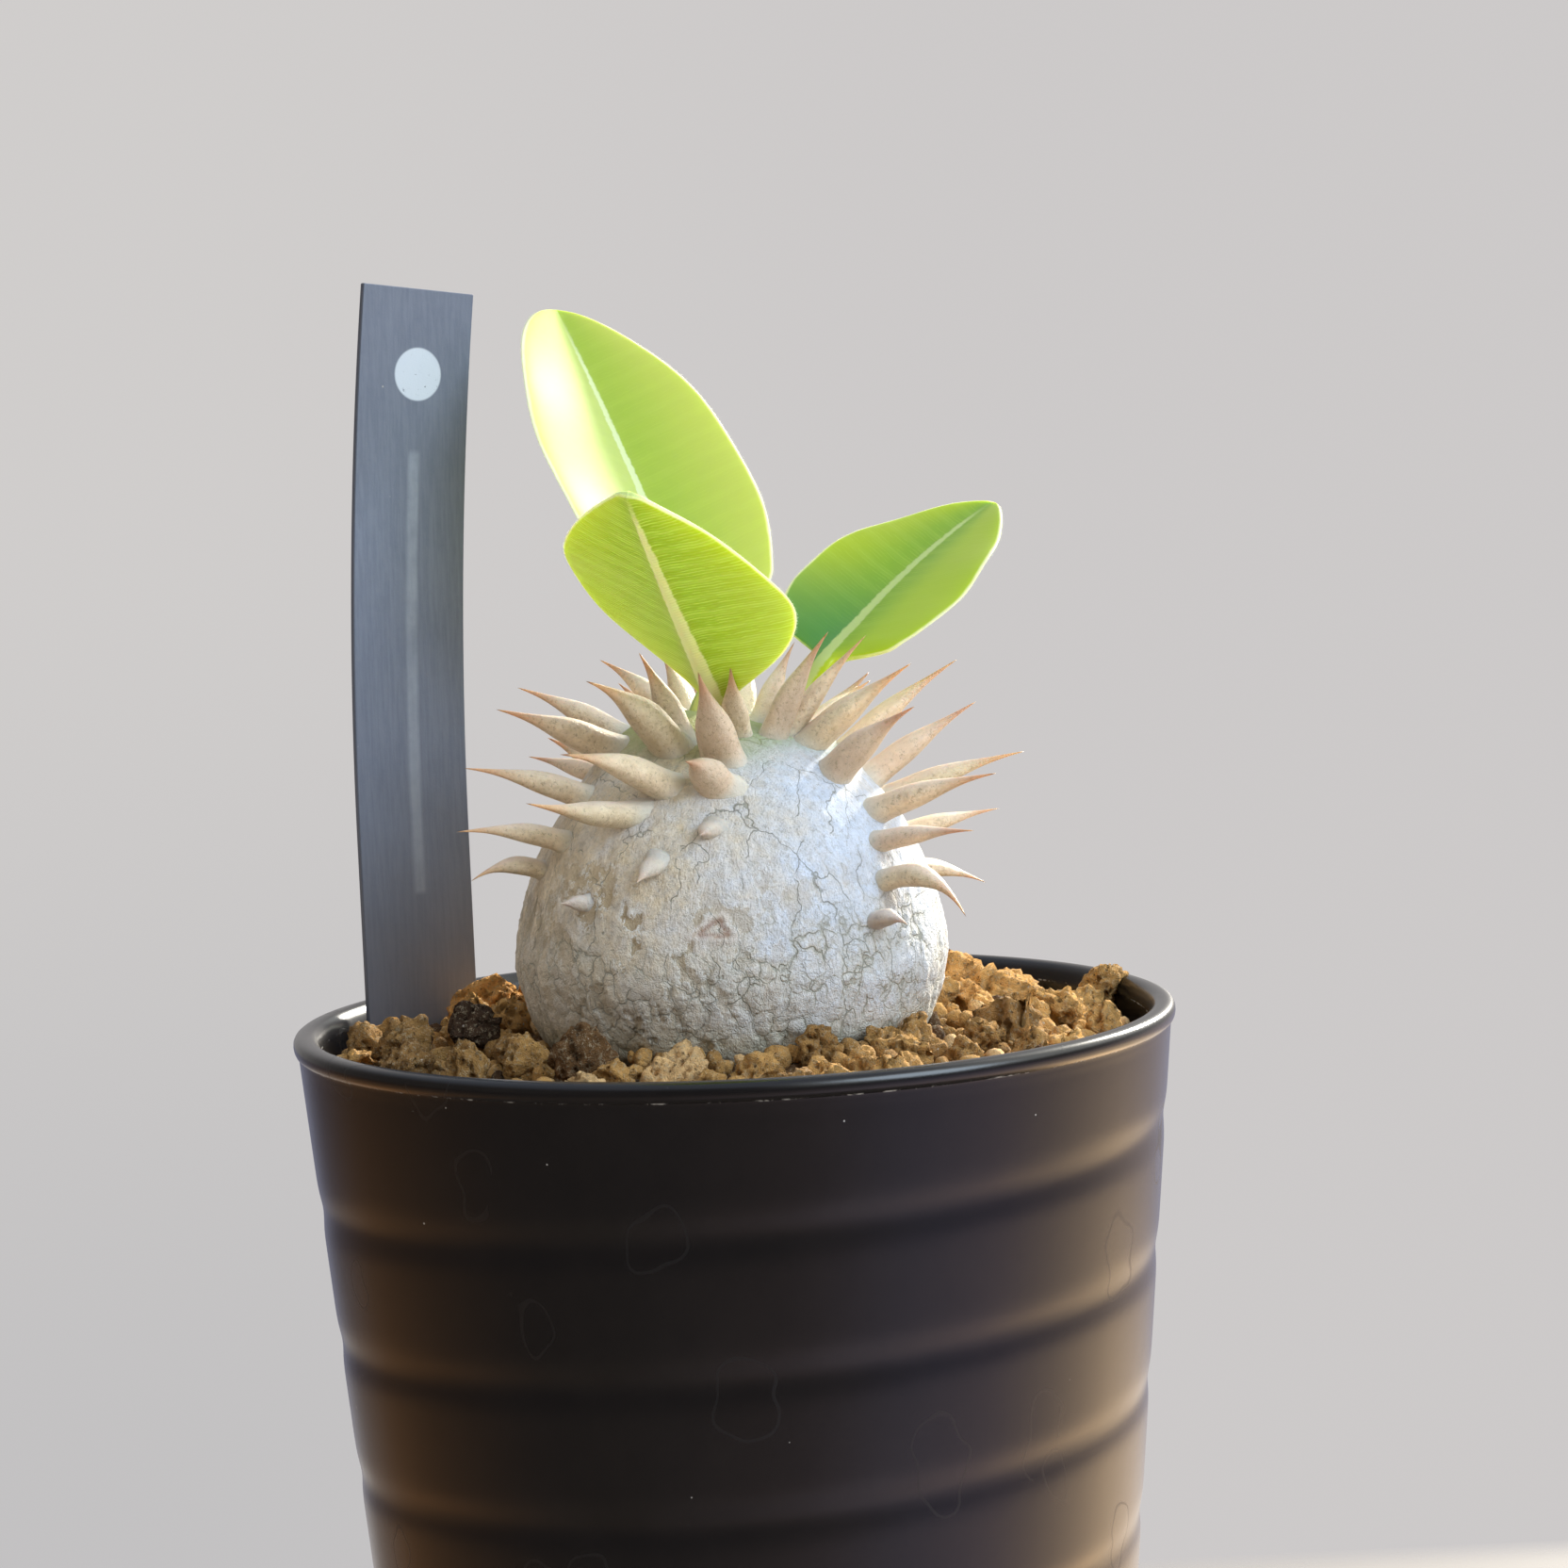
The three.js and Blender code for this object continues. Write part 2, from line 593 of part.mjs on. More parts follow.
function makeSoil() {
  const random = seededRandom(21);
  let soil = soilBed();
  const inner = GRAIN_INNER_RADIUS ** 2;
  const outer = GRAIN_OUTER_RADIUS ** 2;
  for (let k = 0; k < GRAIN_COUNT; k += 1) {
    const distance = Math.sqrt(inner + ((outer - inner) * (k + 0.5)) / GRAIN_COUNT);
    const angle = radians(k * GOLDEN_ANGLE);
    const radius = GRAIN_RADIUS[0] + (GRAIN_RADIUS[1] - GRAIN_RADIUS[0]) * random() ** 1.5;
    const x = distance * Math.cos(angle) + 1.2 * (random() - 0.5);
    const y = distance * Math.sin(angle) + 1.2 * (random() - 0.5);
    soil = soil.add(makeGrain(x, y, radius, random));
  }
  soil = soil.intersect(soilSpace(100));
  soil = soil.subtract(makeHole());
  soil = soil.subtract(makeTag(GAP));
  return mainBody(soil);
}

// The finished object

const FINISHES = {
  pot: { color: 0x1d1a19, roughness: 0.32 },
  soil: { color: 0x8f6b42, roughness: 0.95 },
  caudex: { color: 0xb9b6a6, roughness: 0.8 },
  leaf: { color: 0x8cbf2a, roughness: 0.45 },
  name_tag: { color: 0x4d5566, roughness: 0.5 },
};

function addMesh(group, name, solid, finish) {
  const material = new THREE.MeshStandardMaterial({ ...finish, metalness: 0 });
  const mesh = new THREE.Mesh(toGeometry(solid), material);
  mesh.name = name;
  group.add(mesh);
}

const group = new THREE.Group();
addMesh(group, 'pot', makePot(), FINISHES.pot);
addMesh(group, 'soil', makeSoil(), FINISHES.soil);
addMesh(group, 'caudex', makeCaudex(), FINISHES.caudex);
for (const [name, leaf] of Object.entries(LEAVES)) {
  addMesh(group, name, makeLeaf(leaf), FINISHES.leaf);
}
addMesh(group, 'name_tag', makeTag(0), FINISHES.name_tag);

export default group;
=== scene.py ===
"""A small swollen-stem succulent in a black plastic pot, dressed around its solid model.

Lengths in the tables are millimetres in the model's own frame: the origin is the middle of the
pot's foot, +Z is up and the front looks along -Y. Points are scaled to metres as a mesh is made.
"""

import json
import math
import random

import bmesh
import bpy
import numpy as np
from mathutils import Matrix, Vector

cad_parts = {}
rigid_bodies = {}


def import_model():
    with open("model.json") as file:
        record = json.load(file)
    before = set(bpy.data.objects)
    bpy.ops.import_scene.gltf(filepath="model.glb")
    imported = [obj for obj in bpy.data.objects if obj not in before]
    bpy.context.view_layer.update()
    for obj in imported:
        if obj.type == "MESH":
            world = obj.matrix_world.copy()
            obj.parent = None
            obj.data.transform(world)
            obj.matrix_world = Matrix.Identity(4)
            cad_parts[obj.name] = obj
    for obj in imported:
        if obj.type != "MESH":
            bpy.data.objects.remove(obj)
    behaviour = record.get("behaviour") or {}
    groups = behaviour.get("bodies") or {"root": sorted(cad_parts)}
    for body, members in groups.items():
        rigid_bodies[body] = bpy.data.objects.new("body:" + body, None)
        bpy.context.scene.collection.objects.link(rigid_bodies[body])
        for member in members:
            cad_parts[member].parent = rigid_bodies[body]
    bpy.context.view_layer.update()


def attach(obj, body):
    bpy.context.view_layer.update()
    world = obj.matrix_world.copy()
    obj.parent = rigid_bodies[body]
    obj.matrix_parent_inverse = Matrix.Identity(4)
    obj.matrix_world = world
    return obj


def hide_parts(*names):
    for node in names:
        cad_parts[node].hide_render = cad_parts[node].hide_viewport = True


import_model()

MM = 0.001
BODY = "root"

# Camera and picture frame
PHOTO_PIXELS = 1664
FOCAL_PIXELS = 3800
SENSOR_WIDTH = 36.0
CAMERA_PLACE = (0.0, -372.63, 146.42)
CAMERA_PITCH = 4.742
CAMERA_YAW = 0.948
CAMERA_ROLL = -2.382

# Pot
POT_HEIGHT = 92
WALL_TOP_RADIUS = 45.7
WALL_TAPER = 0.091
WALL_THICKNESS = 2.3
FLOOR_UNDERSIDE = 2.6
FLOOR_TOP = 4.8
FOOT_NOTCHES = 3
FOOT_NOTCH_BLOCK = (12, 9, 3.2, 36, 0)
DRAIN_SLOTS = 6
DRAIN_SLOT_BLOCK = (13, 3, 8, 17, FLOOR_TOP - 1)
POT_SHARP_ANGLE = 38
FOOT_SECTION = [(33.8, 2.35), (34.0, 1.8), (34.35, 0.35), (34.7, 0.0)]
LIP_SECTION = [
    (45.52, 89.85), (45.56, 90.02), (45.8, 90.2), (45.93, 90.5), (46.0, 90.9), (45.97, 91.3),
    (45.8, 91.65), (45.5, 91.87), (45.1, 91.98), (44.6, 92.0), (44.2, 91.93), (43.9, 91.75), (43.65, 91.4),
]
LIP_SEAM_HEIGHT = 90.06
POT_SEGMENTS = 240
POT_WALL_ROWS = 130
GROOVE_PITCH = 14.0
GROOVE_DEPTH = 0.24
GROOVE_WIDTH = 1.2
GROOVE_HEIGHT_AT_LEFT = 73.6
GROOVE_FADE = (80.5, 85.5)

# Swollen stem: radius and height along its side, root to crown
BODY_PROFILE = [
    (0, 50), (3, 54), (4.6, 70), (9, 79.5), (18.7, 88), (22.1, 95),
    (22.3, 101), (19.3, 110), (13.6, 117.3), (6.8, 121.1), (0, 122.2),
]
BODY_CENTRE_HEIGHT = 100
BODY_SEGMENTS = 456
BODY_ROOT_ROWS = 12
BODY_BARK_ROWS = 196
BODY_BARK_START = 84
CROWN_LOBES = [((-6.5, 1.5, 120.5), 5.0, 2.2), ((8.0, 4.5, 120.0), 4.6, 1.4)]
BODY_START = (0, 0, 50)
BARK_RELIEF = {
    "Valley depth": 0.14, "Streak height": 0.8, "Plate lift": 0.13, "Flake lift": 0.24, "Lump height": 0.45,
}
STREAKED_SIDES = [(-168, 34, 1.0), (0, 30, 0.75), (60, 40, 0.8), (125, 40, 0.9)]
FLAKY_SIDE = (-114, 30)
# bearing and spread of the whitest bark: partly chalk, partly painted light on the side that faces the cool
# sky lamp
CHALK_AND_SKYLIT_SIDE = (-42, 50)
LEAF_SCAR = (-94, 103.2)
LEAF_SCAR_SIZE = (1.75, 1.15)

# Spines: bearing, height angle on the body, length, turn from the bearing, rise, width, and bow:
# how far the middle stands above the straight line from root to tip, as a part of the length
PLACED_SPINES = [
    (163, 62, 12.5, 5, 27, 3.2, 0.04), (-170, 60, 13, 1, 22, 3.8, 0.03),
    (137, 73, 11.25, 8, 33, 3, 0.05), (-125, 65, 13, -15, 36, 4.2, 0.08),
    (-125, 70, 9.75, -55, 67, 3.6, 0.03), (144, 47, 12, -3, 11, 2.6, 0.02),
    (-116, 50, 14.5, -20, 18, 3.6, 0.05), (-159, 45, 13.25, -3, 17, 3, 0.04),
    (-125, 41, 13, -19, 10, 3.2, -0.02), (-154, 31, 12, 0, 10, 2.6, 0.05),
    (-162, 22, 8.25, 11, -2, 2.4, 0.13), (-90, 61, 11.25, -20, 55, 4, 0.03),
    (-76, 74, 9.5, -18, 50, 2.8, 0.01), (-94, 50, 6.5, -26, 28, 4, 0.1),
    (-95, 36, 2.75, -21, -6, 2.1, 0.05), (-112, 26, 4, -9, -21, 2.2, 0.05),
    (-134, 15, 3, -12, 5, 1.9, 0.02), (-43, 71, 13.25, 2, 54, 3, 0.04),
    (-25, 70, 13.25, 6, 49, 2.6, 0.03), (0, 67, 10, 38, 28, 2.6, 0.02),
    (-10, 79, 9, 31, 64, 2.8, 0.03), (-23, 64, 14, 0, 35, 3.6, 0.02),
    (9, 55, 15.25, -6, 37, 3, 0.03), (-35, 51, 12.5, -3, 34, 3.8, 0.04),
    (1, 46, 13.75, 4, 33, 3.2, 0.02), (5, 38, 15.25, -6, 17, 3, 0.03),
    (-28, 37, 14, 3, 16, 3.2, 0.03), (19, 25, 11.5, -2, 10, 2.4, 0.02),
    (-37, 28, 11.5, 3, 7, 2.5, 0.03), (26, 14, 11, 6, -14, 2.4, 0.05),
    (-40, 17, 10.75, -3, -17, 3, 0.2), (-48, 7, 4.75, -2, -1, 2.2, 0.12),
    (75, 72, 10, 0, 50, 2.8, 0.03), (118, 72, 10, 0, 50, 2.8, 0.03),
]
BACK_SPINE_RINGS = [(58, 3, 12), (42, 4, 12.5), (27, 3, 10.5)]
BACK_BEARINGS = (46, 134)
PAIR_SPREAD = 8
BACK_SPINE_WIDTH = 0.27
BACK_SPINE_BOW = 0.03
SPINE_SIDES = 16
SPINE_ROOT = -0.27
SPINE_SWAY = 0.08
WORN_LENGTH = 5
SPINE_FLATNESS = 0.9
SPINE_STATIONS = [
    (-0.22, 1.55), (-0.14, 1.4), (-0.07, 1.24), (0.0, 1.12), (0.07, 1.05), (0.15, 1.01),
    (0.24, 1.0), (0.33, 0.96), (0.41, 0.87), (0.48, 0.75), (0.55, 0.61), (0.62, 0.47),
    (0.69, 0.345), (0.76, 0.24), (0.83, 0.16), (0.9, 0.095), (0.96, 0.05),
]

# Leaves: socket in the crown, base and tip of the blade, and the rules for its outline
LEAVES = {
    "leaf_back": {
        "socket": (-3.0, 1.2, 121.4), "base": (-0.6, 1.9, 127.0), "tip": (-16.6, 28.9, 166.9),
        "arch": 0.022, "roll": -8, "fold": 15, "half_width": 14.0,
        "round": 0.98, "power": 0.53, "neck": 0.24, "rib": 0.8, "blunt": 0.985,
    },
    "leaf_front": {
        "socket": (-0.2, -2.0, 120.6), "base": (0.0, -4.3, 124.2), "tip": (-8.3, -33.4, 147.2),
        "arch": -0.011, "roll": 14, "fold": 8, "half_width": 12.45,
        "round": 1.02, "power": 1.12, "neck": 0.02, "rib": 1.15, "blunt": 0.945,
    },
    "leaf_right": {
        "socket": (6.3, 3.2, 120.6), "base": (10.6, 2.4, 127.4), "tip": (30.7, 20.4, 143.6),
        "arch": 0.077, "roll": -12, "fold": 10, "half_width": 10.85,
        "round": 0.71, "power": 0.7, "neck": 0.12, "rib": 1.0, "blunt": 0.98,
    },
}
BLADE_THICKNESS = 0.66
RIPPLE_HEIGHT = 0.22
RIPPLE_RATE = 17
STALK_RADIUS = 1.25
BLADE_ROWS = 120
BLADE_COLUMNS = 61
STALK_ROWS = 12
VEIN_SLOPE = -0.34
VEIN_COLOUR = (0.62, 0.74, 0.13)
PALE_BACK, DEEP_FACE = (0.36, 0.47, 0.16), (0.16, 0.32, 0.05)
# Some of these looks are painted light and shade on the blade: a pale sunlit half, a yellow half lit
# through from behind and a darker base.
LEAF_LOOKS = {
    "leaf_back": {
        "inner": (0.32, 0.43, 0.055), "outer": (0.48, 0.52, 0.095), "rib_colour": (0.66, 0.72, 0.4),
        "veins": 0.06, "rib": 0.55, "bloom": 0.32, "base_shade": 0.0, "margin": 0.6,
        "right_glow": 0.0, "shine": 0.06, "hidden_face": -1, "hidden_colour": PALE_BACK,
    },
    "leaf_front": {
        "inner": (0.37, 0.5, 0.011), "outer": (0.52, 0.6, 0.018), "rib_colour": (0.78, 0.77, 0.38),
        "veins": 0.78, "rib": 1.0, "bloom": 0.0, "base_shade": 0.0, "margin": 0.3,
        "right_glow": 0.0, "shine": 0.5, "hidden_face": 1, "hidden_colour": DEEP_FACE,
    },
    "leaf_right": {
        "inner": (0.2, 0.36, 0.006), "outer": (0.42, 0.5, 0.006), "rib_colour": (0.5, 0.58, 0.2),
        "veins": 0.12, "rib": 0.5, "bloom": 0.0, "base_shade": 0.85, "margin": 0.5,
        "right_glow": 0.8, "shine": 0.5, "hidden_face": -1, "hidden_colour": PALE_BACK,
    },
}
HAIR_LINE_ROWS = 90
HAIR_SPACING = 0.07
HAIR_LENGTH = 0.28
HAIR_RADIUS = 0.011

# Plant tag
TAG_WIDTH = 13.6
TAG_THICKNESS = 0.7
TAG_TOP = 169.3
TAG_SHOULDER = 84
TAG_POINT = 63
TAG_PLACE = (-34.2, 17.3)
TAG_FACING = 34
TAG_BOW_START = 110
TAG_BOW = 3.4
TAG_CHAMFER = 0.09
TAG_POINT_WIDTH = 1.6
TAG_ROWS = 60
TAG_DOT_PLACE = (0.4, 160.2, 0.0)
TAG_DOT_RADIUS = 2.95
TAG_RULE_ACROSS = 0.3
TAG_RULE_ENDS = (103.5, 152.3)

# Soil
SOIL_EDGE_HEIGHT = 87.6
SOIL_HEAP = 2.3
SOIL_SEGMENTS = 128
SOIL_MOUNDS = [(-22, 19, 9, 1.6), (27, 20, 9, 1.2)]
GAP = 0.3

# Stones that stand out in the picture: x, y, height of the top, half size, tone, shape
KEY_STONES = [
    (-14.8, -25.0, 94.0, 3.7, 0.12, 0), (-27.0, -5.0, 94.6, 3.3, 0.02, 1),
    (-20.7, -20.0, 92.7, 3.0, 0.48, 2), (-33.0, -20.0, 92.7, 2.9, 0.3, 3),
    (-26.5, -22.5, 92.6, 3.1, 0.38, 4), (-7.5, -30.0, 91.3, 2.6, 0.9, 5),
    (1.7, -28.0, 91.5, 2.7, 0.5, 6), (8.0, -30.0, 90.8, 2.4, 0.6, 7),
    (16.7, -22.0, 91.8, 3.5, 0.5, 1), (28.6, -8.0, 92.5, 5.6, 0.3, 2),
    (40.0, 13.0, 93.5, 3.4, 0.42, 0), (-26.5, 15.0, 94.7, 4.2, 0.78, 4),
    (-38.5, 0.0, 91.9, 2.9, 0.38, 3), (38.5, -3.0, 90.6, 2.8, 0.55, 6),
    (33.0, -15.0, 90.6, 2.9, 0.6, 5), (-19.0, 17.5, 93.6, 3.9, 0.74, 2),
    (-33.5, -8.0, 93.2, 3.2, 0.36, 5), (30.0, 14.0, 93.4, 4.6, 0.7, 7),
    (23.5, 20.0, 93.8, 4.2, 0.76, 3), (34.0, 4.0, 92.4, 3.6, 0.5, 4),
    (24.5, -13.0, 91.6, 2.9, 0.35, 0), (-12.0, -29.5, 91.9, 2.5, 0.45, 7),
]
# The others: count, half sizes, inner and outer radius, spacing, lift as a part of the half size
LARGE_STONES = (62, (2.1, 3.3), 22.5, 43.0, 0.72, (-0.05, 0.35))
SMALL_STONES = (330, (0.8, 1.7), 20.5, 43.0, 0.55, (0.0, 0.5))
CRUMBS = (260, (0.35, 0.7), 20.0, 42.8, 0.2, (0.3, 1.6))
STONE_SHAPES = 8
SOIL_TONES = [
    (0.0, (0.065, 0.038, 0.025)), (0.2, (0.28, 0.15, 0.054)), (0.42, (0.54, 0.32, 0.112)),
    (0.6, (0.78, 0.465, 0.165)), (0.8, (0.89, 0.5, 0.17)), (1.0, (0.9, 0.69, 0.4)),
]

# Table top as the pot's sides mirror it, from the front round to the back
TABLE_BRIGHT_SIDE = [
    (0.0, (0.03, 0.027, 0.027)), (0.06, (0.08, 0.06, 0.065)), (0.16, (0.15, 0.14, 0.2)),
    (0.36, (0.27, 0.22, 0.27)), (0.5, (0.46, 0.35, 0.3)), (0.76, (1.0, 0.72, 0.46)),
    (0.88, (0.8, 0.62, 0.46)), (0.98, (0.52, 0.49, 0.46)),
]
TABLE_DIM_SIDE = [
    (0.0, (0.09, 0.08, 0.08)), (0.3, (0.1, 0.085, 0.08)), (0.5, (0.24, 0.14, 0.08)),
    (0.76, (0.48, 0.24, 0.1)), (0.9, (0.5, 0.4, 0.34)), (0.98, (1.0, 0.98, 0.96)),
]


def smooth(value, low, high):
    """0 at low, 1 at high and an S-shaped rise between."""
    share = np.clip((np.asarray(value, float) - low) / (high - low), 0, 1)
    return share * share * (3 - 2 * share)


def bell(value, middle, spread):
    """1 at the middle, falling to nothing on both sides."""
    return np.exp(-((value - middle) / spread) ** 2)


def all_round(count):
    """Even bearings round a circle."""
    return np.linspace(0, 2 * math.pi, count, endpoint=False)


def opaque(colour):
    """A plain colour with its alpha. A socket stays as it is."""
    return (*colour, 1) if isinstance(colour, tuple) else colour


def unit(vectors):
    vectors = np.asarray(vectors, float)
    return vectors / np.linalg.norm(vectors, axis=-1, keepdims=True)


def steady_random(seed):
    """The same even numbers from 0 to 1 as the solid model draws."""
    limit = 0xFFFFFFFF
    state = seed

    def draw():
        nonlocal state
        state = (state + 0x6D2B79F5) & limit
        mixed = ((state ^ (state >> 15)) * (1 | state)) & limit
        mixed = ((mixed + ((mixed ^ (mixed >> 7)) * (61 | mixed))) & limit) ^ mixed
        return ((mixed ^ (mixed >> 14)) & limit) / 4294967296

    return draw


# Node helpers

FLOAT = "NodeSocketFloat"
VECTOR = "NodeSocketVector"
MILLIMETRES = (1000.0, 1000.0, 1000.0)


class Nodes:
    """Adds nodes to one tree and gives back their outputs."""

    def __init__(self, tree):
        self.tree = tree
        self.shades = tree.bl_idname == "ShaderNodeTree"

    def feed(self, inputs, values):
        """Links each value that is a socket to its input, and sets any other."""
        for key, value in values.items():
            if isinstance(value, bpy.types.NodeSocket):
                self.tree.links.new(value, inputs[key])
            else:
                inputs[key].default_value = value

    def put(self, kind, values=None, **settings):
        made = self.tree.nodes.new(kind)
        for key, value in settings.items():
            setattr(made, key, value)
        self.feed(made.inputs, values or {})
        return made.outputs

    def calc(self, operation, *values, clamp=False):
        inputs = dict(enumerate(values))
        return self.put("ShaderNodeMath", inputs, operation=operation, use_clamp=clamp)[0]

    def times(self, first, *others):
        for other in others:
            first = self.calc("MULTIPLY", first, other)
        return first

    def plus(self, first, *others):
        for other in others:
            first = self.calc("ADD", first, other)
        return first

    def minus(self, first, second):
        return self.calc("SUBTRACT", first, second)

    def times_plus(self, first, second, more):
        return self.calc("MULTIPLY_ADD", first, second, more)

    def most(self, first, *others):
        for other in others:
            first = self.calc("MAXIMUM", first, other)
        return first

    def vector(self, operation, *values):
        made = self.put("ShaderNodeVectorMath", dict(enumerate(values)), operation=operation)
        return made["Value" if operation == "DISTANCE" else "Vector"]

    def stretched(self, place, scale):
        return self.vector("MULTIPLY", place, scale)

    def fade(self, value, low, high, start=0.0, end=1.0):
        """An S-shaped change from start to end as the value goes from low to high."""
        inputs = {0: value, 1: low, 2: high, 3: start, 4: end}
        return self.put("ShaderNodeMapRange", inputs, interpolation_type="SMOOTHSTEP")[0]

    def fall(self, value, low, high, start=1.0):
        """A fade from start down to nothing."""
        return self.fade(value, low, high, start, 0.0)

    def blend(self, factor, first, second, mode="MIX"):
        inputs = {0: factor, 6: opaque(first), 7: opaque(second)}
        return self.put("ShaderNodeMix", inputs, data_type="RGBA", blend_type=mode)[2]

    def coat(self, under, **coats):
        """Lays named coats, each a share and a colour, over each other."""
        for share, colour in coats.values():
            under = self.blend(share, under, colour)
        return under

    def noise(self, place, scale, detail=2.0, roughness=0.5):
        inputs = {"Vector": place, "Scale": scale, "Detail": detail, "Roughness": roughness}
        return self.put("ShaderNodeTexNoise", inputs)[0]

    def wander(self, place, scale, detail):
        """Noise with three unlike parts, for bending a place."""
        inputs = {"Vector": place, "Scale": scale, "Detail": detail}
        return self.put("ShaderNodeTexNoise", inputs)["Color"]

    def cells(self, place, scale, feature="F1"):
        inputs = {"Vector": place, "Scale": scale}
        return self.put("ShaderNodeTexVoronoi", inputs, feature=feature)

    def cell_edge(self, place, scale):
        return self.cells(place, scale, "DISTANCE_TO_EDGE")["Distance"]

    def ramp(self, value, stops):
        """Colours along a value: stops are (place, colour) pairs."""
        made = self.put("ShaderNodeValToRGB", {0: value})
        elements = made[0].node.color_ramp.elements
        for element, (place, colour) in zip(elements, (stops[0], stops[-1])):
            element.position, element.color = place, opaque(colour)
        for place, colour in stops[1:-1]:
            elements.new(place).color = opaque(colour)
        return made["Color"]

    def stored(self, *names):
        """Numbers that the mesh carries, read in a shader."""
        found = [self.put("ShaderNodeAttribute", attribute_name=name)["Fac"] for name in names]
        return found if len(names) > 1 else found[0]

    def named(self, name, kind="FLOAT"):
        """A number that the mesh carries, read in a geometry tree."""
        inputs = {"Name": name}
        return self.put("GeometryNodeInputNamedAttribute", inputs, data_type=kind)["Attribute"]

    def split(self, place):
        return self.put("ShaderNodeSeparateXYZ", {0: place})

    def split_colour(self, colour):
        kind = "ShaderNodeSeparateColor" if self.shades else "FunctionNodeSeparateColor"
        return self.put(kind, {0: colour})

    def place_mm(self):
        """Where a point lies in its object, in millimetres."""
        if self.shades:
            spot = self.put("ShaderNodeTexCoord")["Object"]
        else:
            spot = self.put("GeometryNodeInputPosition")[0]
        return self.stretched(spot, MILLIMETRES)

    def raised(self, geometry, height):
        """Moves every point of a geometry outward by a height in metres."""
        inputs = {0: self.put("GeometryNodeInputNormal")[0], "Scale": height}
        way = self.put("ShaderNodeVectorMath", inputs, operation="SCALE")[0]
        return self.put("GeometryNodeSetPosition", {"Geometry": geometry, "Offset": way})[0]

    def grain(self, place, size, contrast):
        inputs = {"Place": place, "Size": size, "Contrast": contrast}
        return self.put("ShaderNodeGroup", inputs, node_tree=grain_group)[0]

    def specks(self, place, spacing, radius, share):
        inputs = {"Place": place, "Spacing": spacing, "Radius": radius, "Share": share}
        return self.put("ShaderNodeGroup", inputs, node_tree=speck_group)[0]

    def bump(self, height, strength, distance_mm):
        inputs = {"Strength": strength, "Distance": distance_mm * MM, "Height": height}
        return self.put("ShaderNodeBump", inputs)["Normal"]

    def shade(self, values):
        """Sets or links the inputs of a material's own shader."""
        self.feed(self.tree.nodes["Principled BSDF"].inputs, values)


def group(name, kind, inputs, outputs):
    """A node group with named inputs (name: (socket kind, value)) and outputs (name: kind)."""
    made = bpy.data.node_groups.new(name, kind)
    for title, (socket, value) in inputs.items():
        entry = made.interface.new_socket(title, in_out="INPUT", socket_type=socket)
        if value is not None:
            entry.default_value = value
    for title, socket in outputs.items():
        made.interface.new_socket(title, in_out="OUTPUT", socket_type=socket)
    entry = made.nodes.new("NodeGroupInput")
    leave = made.nodes.new("NodeGroupOutput")
    return Nodes(made), entry.outputs, leave.inputs


# Effects that several finishes share


def make_grain_group():
    """Fine uneven grain: a value round 0.5, in two sizes laid over each other."""
    inputs = {"Place": (VECTOR, None), "Size": (FLOAT, 1.0), "Contrast": (FLOAT, 1.0)}
    tree, given, result = group("uneven_grain", "ShaderNodeTree", inputs, {"Value": FLOAT})
    scale = tree.calc("DIVIDE", 1.0, given["Size"])
    coarse = tree.noise(given["Place"], scale, 4.0, 0.6)
    fine = tree.noise(given["Place"], tree.times(scale, 3.7), 3.0, 0.6)
    both = tree.times_plus(fine, 0.4, tree.times(coarse, 0.6))
    away = tree.minus(both, 0.5)
    spread = tree.calc("MULTIPLY_ADD", away, given["Contrast"], 0.5, clamp=True)
    tree.feed(result, {"Value": spread})
    return tree.tree


def make_speck_group():
    """Small round specks: 1 inside a speck. Share is how many of the cells hold one."""
    inputs = {"Place": (VECTOR, None), "Spacing": (FLOAT, 1.0), "Radius": (FLOAT, 0.1)}
    inputs["Share"] = (FLOAT, 0.3)
    tree, given, result = group("loose_specks", "ShaderNodeTree", inputs, {"Mask": FLOAT})
    spot = tree.cells(given["Place"], tree.calc("DIVIDE", 1.0, given["Spacing"]))
    pick = tree.split_colour(spot["Color"])
    kept = tree.calc("LESS_THAN", pick[0], given["Share"])
    reach = tree.times(given["Radius"], tree.times_plus(pick[1], 0.8, 0.4))
    away = tree.minus(1.0, tree.calc("DIVIDE", spot["Distance"], reach))
    dot = tree.calc("MULTIPLY", away, 3.0, clamp=True)
    tree.feed(result, {"Mask": tree.times(dot, kept)})
    return tree.tree


grain_group = make_grain_group()
speck_group = make_speck_group()


def new_finish(name):
    material = bpy.data.materials.new(name)
    material.use_nodes = True
    return material, Nodes(material.node_tree)


# Mesh helpers


def closed_skin(start, rings, end):
    """Points and faces of rings of equal count, closed at both ends by a pole."""
    rings = np.asarray(rings, float)
    rows, count = rings.shape[:2]
    points = np.vstack([[start], rings.reshape(-1, 3), [end]])
    row = np.arange(rows - 1)[:, None] * count + 1
    around = np.arange(count)[None, :]
    following = (around + 1) % count
    corners = [row + around, row + following, row + count + following, row + count + around]
    quads = np.stack(corners, -1).reshape(-1, 4)
    last = len(points) - 1
    ring = np.arange(count)
    beyond = (ring + 1) % count
    top = 1 + (rows - 1) * count
    low_fan = np.stack([np.zeros(count, int), 1 + beyond, 1 + ring], -1)
    high_fan = np.stack([np.full(count, last), top + ring, top + beyond], -1)
    triangles = np.vstack([quads[:, :3], quads[:, [0, 2, 3]], low_fan, high_fan])
    a, b, c = (points[triangles[:, k]] for k in range(3))
    faces = [*quads.tolist(), *low_fan.tolist(), *high_fan.tolist()]
    if np.einsum("ij,ij->i", a, np.cross(b, c)).sum() < 0:
        faces = [face[::-1] for face in faces]
    return points, faces


def level_ring(radius, angle, height):
    return np.stack([radius * np.cos(angle), radius * np.sin(angle), 0 * angle + height], -1)


def add_object(name, data):
    made = bpy.data.objects.new(name, data)
    bpy.context.scene.collection.objects.link(made)
    return made


